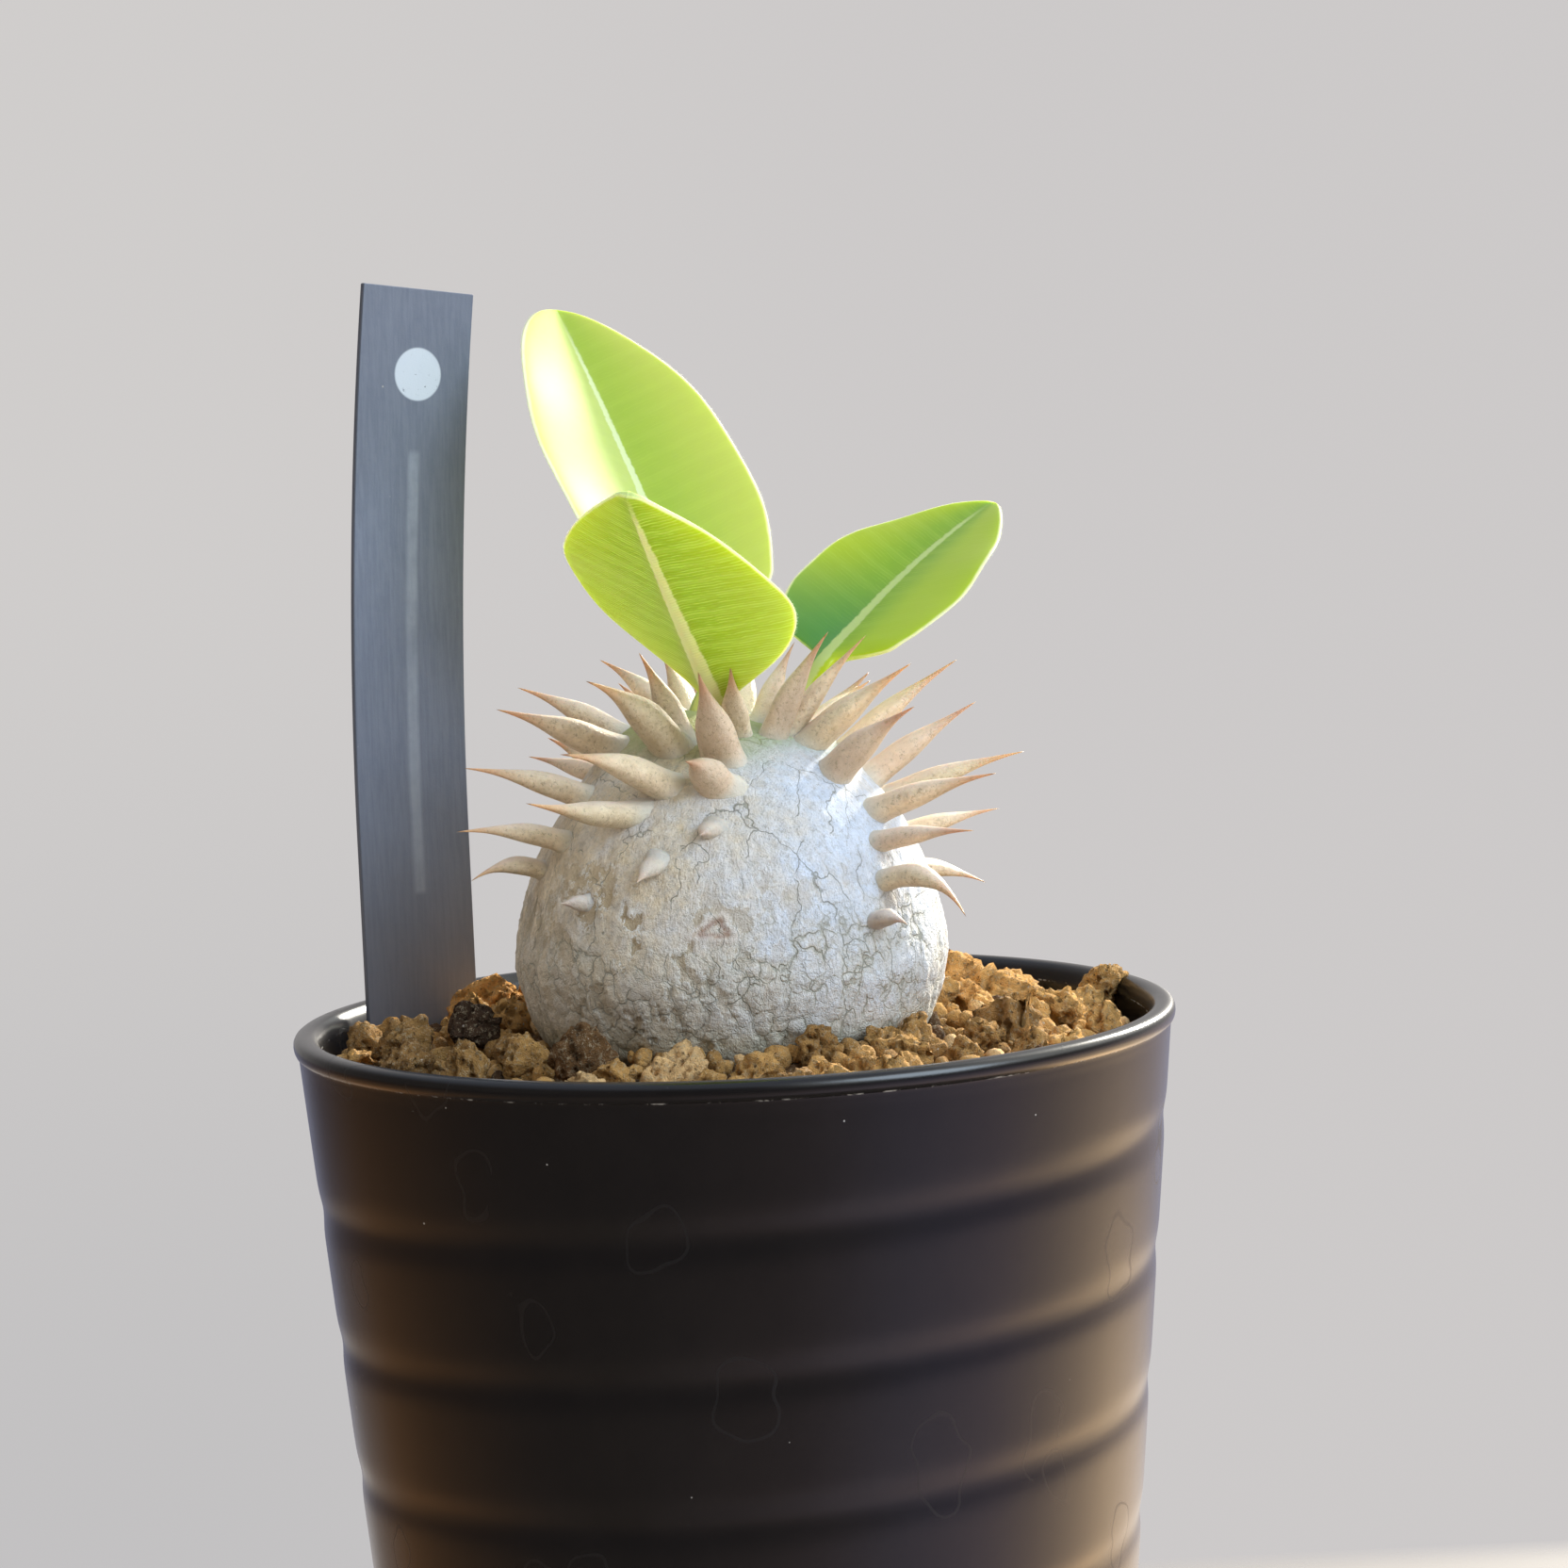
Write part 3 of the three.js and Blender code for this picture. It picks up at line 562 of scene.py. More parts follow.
def new_object(name, points, faces, finish=None, edges=()):
    """An object from points in millimetres."""
    mesh = bpy.data.meshes.new(name)
    mesh.from_pydata((np.asarray(points) * MM).tolist(), list(edges), faces)
    if finish:
        mesh.materials.append(finish)
    if faces:
        mesh.shade_smooth()
    return add_object(name, mesh)


def store(made, name, values, kind="FLOAT"):
    """Gives each point of a mesh a value that finishes and node trees can read."""
    layer = made.data.attributes.new(name, kind, "POINT")
    key = "vector" if kind == "FLOAT_VECTOR" else "value"
    layer.data.foreach_set(key, np.asarray(values, np.float32).ravel())


def mark(made, **values):
    """Stores several numbers for each point, each under its own name."""
    for name, numbers in values.items():
        store(made, name, numbers)


def settle(made, finish):
    """Turns what the modifiers make into the object's own plain mesh."""
    bpy.context.view_layer.update()
    graph = bpy.context.evaluated_depsgraph_get()
    mesh = bpy.data.meshes.new_from_object(made.evaluated_get(graph))
    made.modifiers.clear()
    made.data = mesh
    mesh.materials.clear()
    mesh.materials.append(finish)
    return made


def run_nodes(made, tree, values, finish):
    """Runs a geometry tree on the object. values are named inputs of the tree."""
    modifier = made.modifiers.new(tree.name, "NODES")
    modifier.node_group = tree
    for item in tree.interface.items_tree:
        if item.in_out == "INPUT" and item.name in values:
            modifier[item.identifier] = values[item.name]
    return settle(made, finish)


def dress(made, slot, *nodes):
    """Ties a finished piece to the body and hides the solid parts that it stands for. The slot is not used.
    """
    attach(made, BODY)
    if nodes:
        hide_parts(*nodes)


def geometry_tree(name, inputs):
    """An empty geometry tree with Geometry and Finish sockets beside its own inputs."""
    sockets = {"Geometry": ("NodeSocketGeometry", None), **inputs}
    sockets["Finish"] = ("NodeSocketMaterial", None)
    return group(name, "GeometryNodeTree", sockets, {"Geometry": "NodeSocketGeometry"})


def close_tree(tree, geometry, given, result):
    """Ends a geometry tree: real mesh, smooth faces, its finish."""
    whole = tree.put("GeometryNodeRealizeInstances", {0: geometry})[0]
    soft = tree.put("GeometryNodeSetShadeSmooth", {"Geometry": whole})[0]
    inputs = {"Geometry": soft, "Material": given["Finish"]}
    tree.feed(result, {"Geometry": tree.put("GeometryNodeSetMaterial", inputs)[0]})
    return tree.tree


# Pot


def outer_radius(height):
    return WALL_TOP_RADIUS - WALL_TAPER * (POT_HEIGHT - height)


def inner_radius(height):
    return outer_radius(height) - WALL_THICKNESS


def groove_depth(angle, height):
    """Depth of the turning mark that winds up the outside of the pot."""
    turns = (angle - math.pi) / (2 * math.pi)
    offset = height - (GROOVE_HEIGHT_AT_LEFT + GROOVE_PITCH * turns)
    nearest = offset - GROOVE_PITCH * np.round(offset / GROOVE_PITCH)
    low, high = GROOVE_FADE
    remaining = 1 - smooth(height, low, high)
    return GROOVE_DEPTH * remaining * np.exp(-nearest ** 2 / (2 * GROOVE_WIDTH ** 2))


def pot_side():
    """Radius and height round the pot's section, underside to lip to inner floor."""
    side = [(r, FLOOR_UNDERSIDE) for r in (12, 20, 28, 33.2)]
    side += FOOT_SECTION
    side += [(outer_radius(0) - 0.75, 0.0), (outer_radius(0) - 0.25, 0.2), (outer_radius(0.7), 0.75)]
    side += [(outer_radius(z), z) for z in np.linspace(2.4, 89.2, POT_WALL_ROWS)]
    side += [(outer_radius(89.6) + 0.02, 89.6), *LIP_SECTION]
    side += [(inner_radius(z), z) for z in (90.9, 89.5, 87, 84, 78, 68, 56, 44, 32, 20, 10, 7.2)]
    side += [(inner_radius(6) - 0.35, 5.9), (inner_radius(5) - 1.0, 5.1)]
    side += [(r, FLOOR_TOP) for r in (inner_radius(FLOOR_TOP) - 2.0, 30, 20, 12)]
    return side


def cutting_block(length, width, height, distance, middle, angle):
    """Placement of a unit cube as a block at a distance and bearing from the axis."""
    turn = Matrix.Rotation(angle, 4, "Z")
    size = Matrix.Diagonal((length, width, height, 1))
    return turn @ Matrix.Translation((distance, 0, middle)) @ size


def make_pot(finish):
    """The moulding as a turned skin, with its slots and notches cut out."""
    angle = all_round(POT_SEGMENTS)
    rings = []
    for radius, height in pot_side():
        on_wall = radius >= outer_radius(height) - 0.01 and 2 < height < 89.3
        reach = radius - groove_depth(angle, height) if on_wall else np.full(POT_SEGMENTS, radius)
        rings.append(level_ring(reach, angle, height))
    points, faces = closed_skin((0, 0, FLOOR_UNDERSIDE), rings, (0, 0, FLOOR_TOP))
    pot = new_object("pot_moulding", points, faces, finish)
    to_metres = Matrix.Diagonal((MM, MM, MM, 1))
    tools = bmesh.new()
    cuts = ((DRAIN_SLOTS, 0.5, DRAIN_SLOT_BLOCK), (FOOT_NOTCHES, 0.25, FOOT_NOTCH_BLOCK))
    for count, start, block in cuts:
        for k in range(count):
            place = cutting_block(*block, 2 * math.pi * (k + start) / count)
            bmesh.ops.create_cube(tools, size=1, matrix=to_metres @ place)
    cutter = add_object("pot_cutters", bpy.data.meshes.new("pot_cutters"))
    tools.to_mesh(cutter.data)
    tools.free()
    cut = pot.modifiers.new("slots", "BOOLEAN")
    cut.operation, cut.solver, cut.object = "DIFFERENCE", "EXACT", cutter
    settle(pot, finish)
    bpy.data.objects.remove(cutter)
    pot.data.shade_smooth()
    pot.data.set_sharp_from_angle(angle=math.radians(POT_SHARP_ANGLE))
    dress(pot, "pot_plastic", "pot")


def pot_finish():
    """Near-black satin plastic with dried water marks, faint scuffs and pale specks."""
    material, tree = new_finish("pot_satin_plastic")
    place = tree.place_mm()
    height = tree.split(place)[2]
    bent = tree.vector("MULTIPLY_ADD", tree.wander(place, 0.16, 1.0), (5.0, 5.0, 6.0), place)
    spots = tree.cells(tree.stretched(bent, (1.0, 1.0, 0.62)), 0.11)
    pick = tree.split_colour(spots["Color"])
    kept = tree.calc("LESS_THAN", pick[0], 0.55)
    size = tree.times_plus(pick[1], 0.22, 0.2)
    off = tree.calc("ABSOLUTE", tree.minus(spots["Distance"], size))
    ring = tree.times(tree.fall(off, 0.0, 0.022), kept)
    inside = tree.times(tree.calc("LESS_THAN", spots["Distance"], size), kept)
    specks = tree.most(tree.specks(place, 3.1, 0.035, 0.16), tree.specks(place, 1.3, 0.04, 0.05))
    off_seam = tree.calc("ABSOLUTE", tree.minus(height, LIP_SEAM_HEIGHT))
    broken = tree.fade(tree.noise(place, 0.5, 5.0, 0.7), 0.52, 0.62)
    seam = tree.times(tree.fall(off_seam, 0.03, 0.11), broken)
    colour = tree.coat(
        tree.blend(tree.grain(place, 14.0, 1.6), (0.0055, 0.0045, 0.0042), (0.011, 0.0085, 0.0075)),
        water_rings=(tree.times(ring, 0.14), (0.03, 0.027, 0.026)),
        dust=(tree.times(specks, 0.7), (0.5, 0.48, 0.45)),
        scuffed_seam=(tree.times(seam, 0.6), (0.42, 0.4, 0.37)),
    )
    fine = tree.grain(place, 1.8, 1.0)
    worn = tree.times_plus(fine, 0.06, tree.times_plus(inside, -0.03, 0.22))
    tree.shade({
        "Base Color": colour, "IOR": 1.52, "Specular IOR Level": 0.5,
        "Roughness": tree.times_plus(ring, 0.14, tree.times_plus(seam, 0.3, worn)),
        "Normal": tree.bump(tree.times_plus(ring, 0.12, fine), 0.35, 0.035),
    })
    return material


# Swollen stem


def dense_profile():
    """The body's side as an even, fine polyline: points and unit directions along it."""
    knots = np.array([BODY_PROFILE[0], *BODY_PROFILE, BODY_PROFILE[-1]], float)
    share = np.linspace(0, 1, 120, endpoint=False)[:, None]
    parts = []
    for p0, p1, p2, p3 in zip(knots, knots[1:], knots[2:], knots[3:]):
        leave, arrive = (p2 - p0) / 2, (p3 - p1) / 2
        cubic = (2 * p1 - 2 * p2 + leave + arrive) * share ** 3
        square = (3 * p2 - 3 * p1 - 2 * leave - arrive) * share ** 2
        parts.append(cubic + square + leave * share + p1)
    line = np.vstack([*parts, knots[-1:]])
    run = np.concatenate([[0], np.cumsum(np.linalg.norm(np.diff(line, axis=0), axis=1))])
    even = np.linspace(0, run[-1], 4001)
    line = np.stack([np.interp(even, run, line[:, 0]), np.interp(even, run, line[:, 1])], -1)
    return line, unit(np.gradient(line, axis=0))


SIDE_LINE, SIDE_WAY = dense_profile()
SIDE_SHARE = np.linspace(0, 1, len(SIDE_LINE))


def lobe_height(points):
    rise = np.zeros(points.shape[:-1])
    for centre, spread, height in CROWN_LOBES:
        away = ((points - np.array(centre)) ** 2).sum(-1)
        rise += height * np.exp(-away / (2 * spread ** 2))
    return rise


def body_points(share, angle, lift=0.0):
    """Points on the smooth body at shares of its side (rows) and bearings (columns)."""
    share, angle = np.broadcast_arrays(share, angle)
    radius = np.interp(share, SIDE_SHARE, SIDE_LINE[:, 0])
    height = np.interp(share, SIDE_SHARE, SIDE_LINE[:, 1])
    out_way = np.interp(share, SIDE_SHARE, SIDE_WAY[:, 0])
    up_way = np.interp(share, SIDE_SHARE, SIDE_WAY[:, 1])
    points = np.stack([radius * np.cos(angle), radius * np.sin(angle), height], -1)
    outward = np.stack([up_way * np.cos(angle), up_way * np.sin(angle), -out_way], -1)
    return points + outward * (lobe_height(points) + lift)[..., None]


def share_at_height(height):
    low = SIDE_LINE[:, 1] <= height
    return SIDE_SHARE[low].max()


def share_at_height_angle(degrees):
    target = math.radians(degrees)
    angle = np.arctan2(SIDE_LINE[:, 1] - BODY_CENTRE_HEIGHT, SIDE_LINE[:, 0])
    upper = SIDE_SHARE > 0.3
    return np.interp(target, angle[upper], SIDE_SHARE[upper])


def bearing_gap(bearing, centre):
    """Degrees between two bearings, signed, -180 to 180."""
    return (bearing - centre + 180) % 360 - 180


def bark_pattern(tree, place):
    """Plates, cracks, torn flakes and streaks of the bark from a place in millimetres.

    The same nodes serve the relief and the colour, so that the two always agree.
    """
    centre = (0.5, 0.5, 0.5)
    wide = tree.vector("SUBTRACT", tree.wander(place, 0.3, 2.0), centre)
    fine = tree.vector("SUBTRACT", tree.wander(place, 1.1, 3.0), centre)
    bent = tree.vector("MULTIPLY_ADD", wide, (3.2, 3.2, 3.2), place)
    bent = tree.vector("MULTIPLY_ADD", fine, (0.8, 0.8, 0.8), bent)
    plate_place = tree.stretched(bent, (1.0, 1.0, 0.8))
    plate_edge = tree.cell_edge(plate_place, 0.46)
    small_edge = tree.cell_edge(bent, 0.85)
    hair_edge = tree.cell_edge(tree.stretched(bent, (1.0, 1.0, 0.22)), 0.17)
    streaks = tree.noise(tree.stretched(bent, (1.0, 1.0, 0.13)), 0.75, 3.0, 0.55)
    flake = tree.noise(tree.stretched(place, (1.0, 1.0, 0.7)), 0.36, 6.0, 0.62)
    patchy = tree.noise(place, 0.32, 2.0, 0.5)
    broken = tree.fade(patchy, 0.4, 0.56)
    return {
        "valley": tree.times(tree.fall(plate_edge, 0.0, 0.17), broken),
        "plate": tree.times(tree.fall(plate_edge, 0.008, 0.045), broken),
        "furrow": tree.fall(hair_edge, 0.0, 0.1),
        "small": tree.times(tree.fall(small_edge, 0.0, 0.085), tree.fade(streaks, 0.42, 0.58)),
        "streak": streaks,
        "hair": tree.times(tree.fall(hair_edge, 0.0, 0.012), tree.fall(patchy, 0.5, 0.6)),
        "peeled": tree.fade(flake, 0.525, 0.54),
        "torn": tree.times(tree.fade(flake, 0.495, 0.524), tree.fall(flake, 0.524, 0.535)),
        "pick": tree.split_colour(tree.cells(plate_place, 0.46)["Color"])[0],
        "lumps": tree.noise(place, 0.5, 3.0, 0.55),
    }


def make_bark_tree():
    """Raises plates and torn flakes, sinks valleys and runs streaks over the smooth body."""
    inputs = {name: (FLOAT, height) for name, height in BARK_RELIEF.items()}
    tree, given, result = geometry_tree("bark_relief", inputs)
    place = tree.place_mm()
    inputs = {"Geometry": given["Geometry"], "Name": "bark_place", "Value": place}
    kept = tree.put("GeometryNodeStoreNamedAttribute", inputs, data_type="FLOAT_VECTOR")
    bark = bark_pattern(tree, place)
    plated, streaked, flaky = (tree.named(name) for name in ("plated", "streaked", "flaky"))
    sunk = tree.times_plus(bark["furrow"], 1.2, bark["valley"])
    valley = tree.times(sunk, plated, given["Valley depth"])
    run = tree.times(tree.minus(bark["streak"], 0.5), streaked, given["Streak height"])
    step = tree.times(tree.minus(bark["pick"], 0.5), given["Plate lift"], plated)
    lift = tree.times(tree.minus(1.0, bark["valley"]), step)
    torn = tree.times_plus(bark["torn"], 0.5, tree.times(bark["peeled"], -1.0))
    flakes = tree.times(torn, flaky, given["Flake lift"])
    lumps = tree.times(tree.minus(bark["lumps"], 0.5), given["Lump height"])
    height = tree.plus(tree.minus(lumps, valley), tree.plus(lift, run), flakes)
    height = tree.plus(tree.times(height, tree.named("barky")), tree.named("raised"))
    return close_tree(tree, tree.raised(kept[0], tree.times(height, MM)), given, result)


def scar_distance(bearing, points):
    """Distance from the middle of the lopsided leaf scar: 1 on its edge."""
    across, over = LEAF_SCAR_SIZE
    east = bearing_gap(bearing, LEAF_SCAR[0]) * np.hypot(points[:, 0], points[:, 1]) * math.pi / 180
    north = points[:, 2] - LEAF_SCAR[1]
    turn = np.arctan2(north, east)
    lopsided = 1 + 0.2 * np.sin(3 * turn + 0.6) + 0.12 * np.sin(5 * turn)
    return np.hypot(east / across, north / over) * lopsided


def bark_marks(points):
    """How plated, streaked, flaky, chalky and scarred the bark is at each point. The chalk is partly
    painted light: it is strongest on the side that faces the cool sky lamp.
    """
    bearing = np.degrees(np.arctan2(points[:, 1], points[:, 0]))
    height = points[:, 2]
    wave = 2.2 * np.sin(np.radians(bearing * 3 + 40)) + 1.3 * np.sin(np.radians(bearing * 7 + 100))
    streaked = np.zeros(len(points))
    for centre, spread, amount in STREAKED_SIDES:
        streaked += amount * bell(bearing_gap(bearing, centre), 0, spread)
    streaked = np.clip(streaked, 0, 1) * (1 - smooth(height + wave, 104, 113))
    flaky, chalk_and_skylight = (
        bell(bearing_gap(bearing, side), 0, spread) for side, spread in (FLAKY_SIDE, CHALK_AND_SKYLIT_SIDE)
    )
    bare = 1 - smooth(height, 117, 122)
    scar = scar_distance(bearing, points)
    return {
        "plated": (1 - smooth(height + wave, 98.5, 107)) * (1 - 0.7 * streaked),
        "streaked": streaked,
        "flaky": (0.25 + 0.75 * flaky) * (1 - smooth(height + wave, 106, 112)),
        "barky": smooth(height, 84, 87) * bare * smooth(scar, 0.7, 1.5),
        "raised": (0.2 * bell(scar, 1.0, 0.24) - 0.12 * bell(scar, 0.55, 0.2)) * (scar < 3),
        "scar": bell(scar, 0.6, 0.22),
        "scar_rim": bell(scar, 1.05, 0.25),
        "chalk_and_skylight": np.clip((0.08 + 0.92 * chalk_and_skylight) * smooth(height, 84, 96), 0, 1),
    }


def make_body(finish):
    """The smooth stem from root to crown, then its bark."""
    fine_start = share_at_height(BODY_BARK_START)
    shares = np.concatenate([
        np.linspace(0.02, fine_start, BODY_ROOT_ROWS, endpoint=False),
        np.linspace(fine_start, 0.996, BODY_BARK_ROWS),
    ])
    angle = all_round(BODY_SEGMENTS)
    rings = body_points(shares[:, None], angle[None, :])
    points, faces = closed_skin(BODY_START, rings, body_points(1.0, 0.0))
    body = new_object("caudex_body", points, faces)
    mark(body, **bark_marks(points))
    run_nodes(body, make_bark_tree(), {**BARK_RELIEF, "Finish": finish}, finish)
    dress(body, "bark", "caudex")


def bark_finish():
    """Pale chalky bark: blue-white over tan, torn flakes over khaki, thin grey-green cracks. The blue-white
    is partly painted cool light on the side that faces the sky lamp, and painted light lifts the low body.
    """
    material, tree = new_finish("chalky_bark")
    place = tree.put("ShaderNodeAttribute", attribute_name="bark_place")["Vector"]
    bark = bark_pattern(tree, place)
    height = tree.split(place)[2]
    plated, streaked, flaky, chalk_and_skylight, scar, scar_rim = tree.stored(
        "plated", "streaked", "flaky", "chalk_and_skylight", "scar", "scar_rim"
    )
    broad = tree.grain(place, 6.0, 2.4)
    mottle = tree.grain(place, 1.1, 2.4)
    grit = tree.grain(place, 0.62, 3.0)
    dust = tree.grain(place, 0.34, 2.4)
    wrinkle = tree.grain(tree.stretched(place, (1.5, 1.5, 0.6)), 1.0, 3.2)
    tan = tree.blend(mottle, (0.58, 0.46, 0.3), (0.9, 0.77, 0.57))
    # the blue-white is partly the bark's own colour and partly painted cool light from the sky lamp
    white = tree.blend(mottle, (0.58, 0.63, 0.71), (0.8, 0.86, 0.97))
    drift = tree.times(tree.minus(broad, 0.5), 0.9)
    cracks = tree.most(
        tree.times(bark["plate"], tree.times(plated, 0.85)),
        tree.times(bark["small"], plated, 0.4),
        tree.times(bark["hair"], 0.72),
    )
    crown = tree.times_plus(tree.minus(broad, 0.5), 3.0, height)
    skin = tree.coat(
        tree.blend(tree.calc("ADD", chalk_and_skylight, drift, clamp=True), tan, white),
        streaks=(tree.times(tree.fade(bark["streak"], 0.56, 0.4), streaked, 0.68), (0.31, 0.25, 0.15)),
        grit=(tree.times(tree.fade(grit, 0.4, 0.16), 0.42), (0.33, 0.31, 0.26)),
        wrinkles=(tree.fade(wrinkle, 0.42, 0.12, 0.0, 0.3), (0.36, 0.34, 0.29)),
        plates=(tree.times(bark["pick"], plated, 0.28), (0.66, 0.58, 0.44)),
        peeled=(tree.times(bark["peeled"], flaky, 0.7), (0.46, 0.34, 0.18)),
        torn_edges=(tree.times(bark["torn"], flaky), (0.82, 0.79, 0.72)),
        valleys=(tree.times(bark["valley"], plated, 0.55), (0.56, 0.49, 0.33)),
        furrows=(tree.times(bark["furrow"], plated, 0.3), (0.5, 0.49, 0.38)),
        cracks=(cracks, (0.23, 0.23, 0.175)),
        # painted light: the low body is lightened toward pale cream against the shade from the soil
        pale_foot=(tree.fall(height, 94.0, 105.0, 0.32), (0.86, 0.82, 0.72)),
        moss=(tree.times(tree.fall(height, 90.0, 94.5), 0.4), (0.42, 0.39, 0.2)),
        scar_rim=(tree.times(scar_rim, 0.5), (0.84, 0.76, 0.7)),
        scar=(tree.times(scar, 0.75), (0.36, 0.2, 0.14)),
        green_crown=(tree.fade(crown, 117.5, 122.5, 0.0, 0.85), (0.4, 0.46, 0.13)),
    )
    grain = tree.times_plus(dust, 0.3, tree.times(mottle, 0.4))
    grain = tree.times_plus(wrinkle, 0.7, tree.times_plus(grit, 0.6, grain))
    relief = tree.minus(grain, tree.times(cracks, 0.9))
    rough = tree.times_plus(mottle, 0.25, 0.55)
    tree.shade({"Base Color": skin, "Roughness": rough, "Normal": tree.bump(relief, 0.9, 0.25)})
    return material


# Spines


def back_spines():
    """Spines on the side that the picture hides, in pairs that stand in rings."""
    draw = steady_random(7)
    spines = []
    start, end = BACK_BEARINGS
    for ring, (height_angle, pairs, length) in enumerate(BACK_SPINE_RINGS):
        for pair in range(pairs):
            share = (pair + 0.5 + 0.25 * (ring % 2)) / (pairs + 0.25)
            bearing = start + (end - start) * share
            for side in (-1, 1):
                place = bearing + side * PAIR_SPREAD + 4 * (draw() - 0.5)
                tilt = height_angle + 5 * (draw() - 0.5) + 2 * side
                reach = length * (0.9 + 0.2 * draw())
                rise = height_angle * 0.6 + 8 * (draw() - 0.5)
                width = BACK_SPINE_WIDTH * reach
                spines.append((place, tilt, reach, 6 * side, rise, width, BACK_SPINE_BOW))
    return spines


def spine_skin(bearing, height_angle, length, turn, rise, width, bow, draw):
    """One thorn: a flared root, a full middle and a drawn-out tip, bowed along its length."""
    share = share_at_height_angle(height_angle)
    root = body_points(share, math.radians(bearing), -0.2)
    heading, climb = math.radians(bearing + turn), math.radians(rise)
    level = math.cos(climb)
    along = np.array([level * math.cos(heading), level * math.sin(heading), math.sin(climb)])
    sideways = np.array([-math.sin(heading), math.cos(heading), 0])
    upward = np.cross(along, sideways)
    radius = width / 2
    bend = SPINE_SWAY * (draw() - 0.5)
    around = all_round(SPINE_SIDES)
    keel = 1 + 0.06 * np.cos(2 * around) + 0.05 * np.cos(3 * around + 6 * draw())

    def centre(share):
        arch = 4 * bow * length * share * (1 - share)
        sway = bend * length * max(share, 0) * (share - 1)
        return root + along * share * length + upward * arch + sideways * sway

    rings = []
    for station, fullness in SPINE_STATIONS:
        flat = SPINE_FLATNESS + 0.35 * max(0, 0.1 - station)
        reach = radius * fullness * keel
        across = np.outer(np.cos(around) * reach, sideways)
        rings.append(centre(station) + across + np.outer(np.sin(around) * reach * flat, upward))
    points, faces = closed_skin(centre(SPINE_ROOT), rings, centre(1.0))
    stations = [SPINE_ROOT, *np.repeat([s for s, _ in SPINE_STATIONS], SPINE_SIDES), 1.0]
    tops = [0, *np.tile(np.sin(around), len(SPINE_STATIONS)), 0]
    return points, faces, stations, tops


def make_spines(finish):
    """All thorns as one piece, each with its own tone and the small ones worn."""
    draw = steady_random(11)
    points, faces, tips, tops, tones, ages = [], [], [], [], [], []
    total = 0
    for spine in [*PLACED_SPINES, *back_spines()]:
        own_points, own_faces, own_tips, own_tops = spine_skin(*spine, draw)
        points.append(own_points)
        faces += [[corner + total for corner in face] for face in own_faces]
        total += len(own_points)
        tips += list(own_tips)
        tops += list(own_tops)
        tones += [draw()] * len(own_points)
        ages += [1.0 if spine[2] <= WORN_LENGTH else 0.0] * len(own_points)
    spines = new_object("caudex_spines", np.vstack(points), faces, finish)
    mark(spines, tip=tips, top=tops, tone=tones, worn=ages)
    dress(spines, "bark")


def spine_finish():
    """Tan thorn: greenish-grey flanks and an orange-brown tip, with a painted pinkish-cream highlight along
    the top ridge and painted shade on the underside.
    """
    material, tree = new_finish("tan_thorn")
    place = tree.place_mm()
    tip, top, tone, worn = tree.stored("tip", "top", "tone", "worn")
    mottle = tree.grain(place, 1.3, 2.4)
    spots = tree.grain(place, 0.45, 3.0)
    uneven = tree.times_plus(mottle, 0.16, tip)
    warm = tree.blend(tone, (0.46, 0.24, 0.14), (0.66, 0.34, 0.13))
    skin = tree.coat(
        tree.blend(mottle, (0.57, 0.43, 0.27), (0.9, 0.75, 0.54)),
        greenish=(tree.times(tree.fade(tone, 0.5, 1.0), 0.24), (0.42, 0.42, 0.2)),
        pinkish=(tree.fade(tone, 0.5, 0.0, 0.0, 0.5), (0.6, 0.43, 0.33)),
        # painted shade: the underside of each thorn is darkened toward brown
        underside=(tree.times(tree.fade(top, -0.3, -0.9), 0.4), (0.36, 0.27, 0.17)),
        spots=(tree.times(tree.fade(spots, 0.42, 0.16), 0.55), (0.27, 0.2, 0.11)),
        # painted highlight: the top ridge of each thorn is lightened toward pinkish cream
        ridge=(tree.fade(top, 0.15, 0.95, 0.0, 0.65), (0.9, 0.75, 0.61)),
        root=(tree.fall(tip, -0.05, 0.16, 0.75), (0.62, 0.6, 0.52)),
        warm_end=(tree.fade(uneven, 0.6, 0.98, 0.0, 0.8), warm),
        dark_point=(tree.fade(uneven, 0.98, 1.08, 0.0, 0.8), (0.2, 0.09, 0.045)),
        worn_stub=(tree.times(worn, 0.5), (0.5, 0.48, 0.47)),
    )
    tree.shade({
        "Base Color": skin,
        "Roughness": tree.times_plus(mottle, 0.25, 0.34),
        "Normal": tree.bump(tree.times_plus(spots, 0.6, mottle), 0.6, 0.16),
        "Subsurface Weight": 0.3, "Subsurface Radius": (0.9, 0.55, 0.3), "Subsurface Scale": 0.0012,
    })
    return material


# Leaves


def blade_frame(leaf):
    """Start, run and length of the blade's middle line, and the way that its face looks."""
    base, tip = np.array(leaf["base"], float), np.array(leaf["tip"], float)
    chord = tip - base
    length = np.linalg.norm(chord)
    forward = chord / length
    level = unit(np.cross(forward, (0, 0, 1)))
    face = np.cross(level, forward)
    roll = math.radians(leaf["roll"])
    return base, chord, length, face * math.cos(roll) - level * math.sin(roll)


def pointed_width(leaf, share):
    """Half width of the blade, if it ended in a point."""
    outline = np.sin(np.pi * share ** leaf["round"]) ** leaf["power"]
    return leaf["half_width"] * outline * smooth(share, 0, leaf["neck"])


def blade_tip(leaf):
    """Arc that rounds the tip: its radius and middle in mm along the blade, and where it ends."""
    length = blade_frame(leaf)[2]
    join = leaf["blunt"]
    wide = pointed_width(leaf, join)
    lean = math.atan((pointed_width(leaf, join - 0.001) - wide) / (0.001 * length))
    radius = wide / math.cos(lean)
    middle = join * length - radius * math.sin(lean)
    return radius, middle, (middle + radius) / length


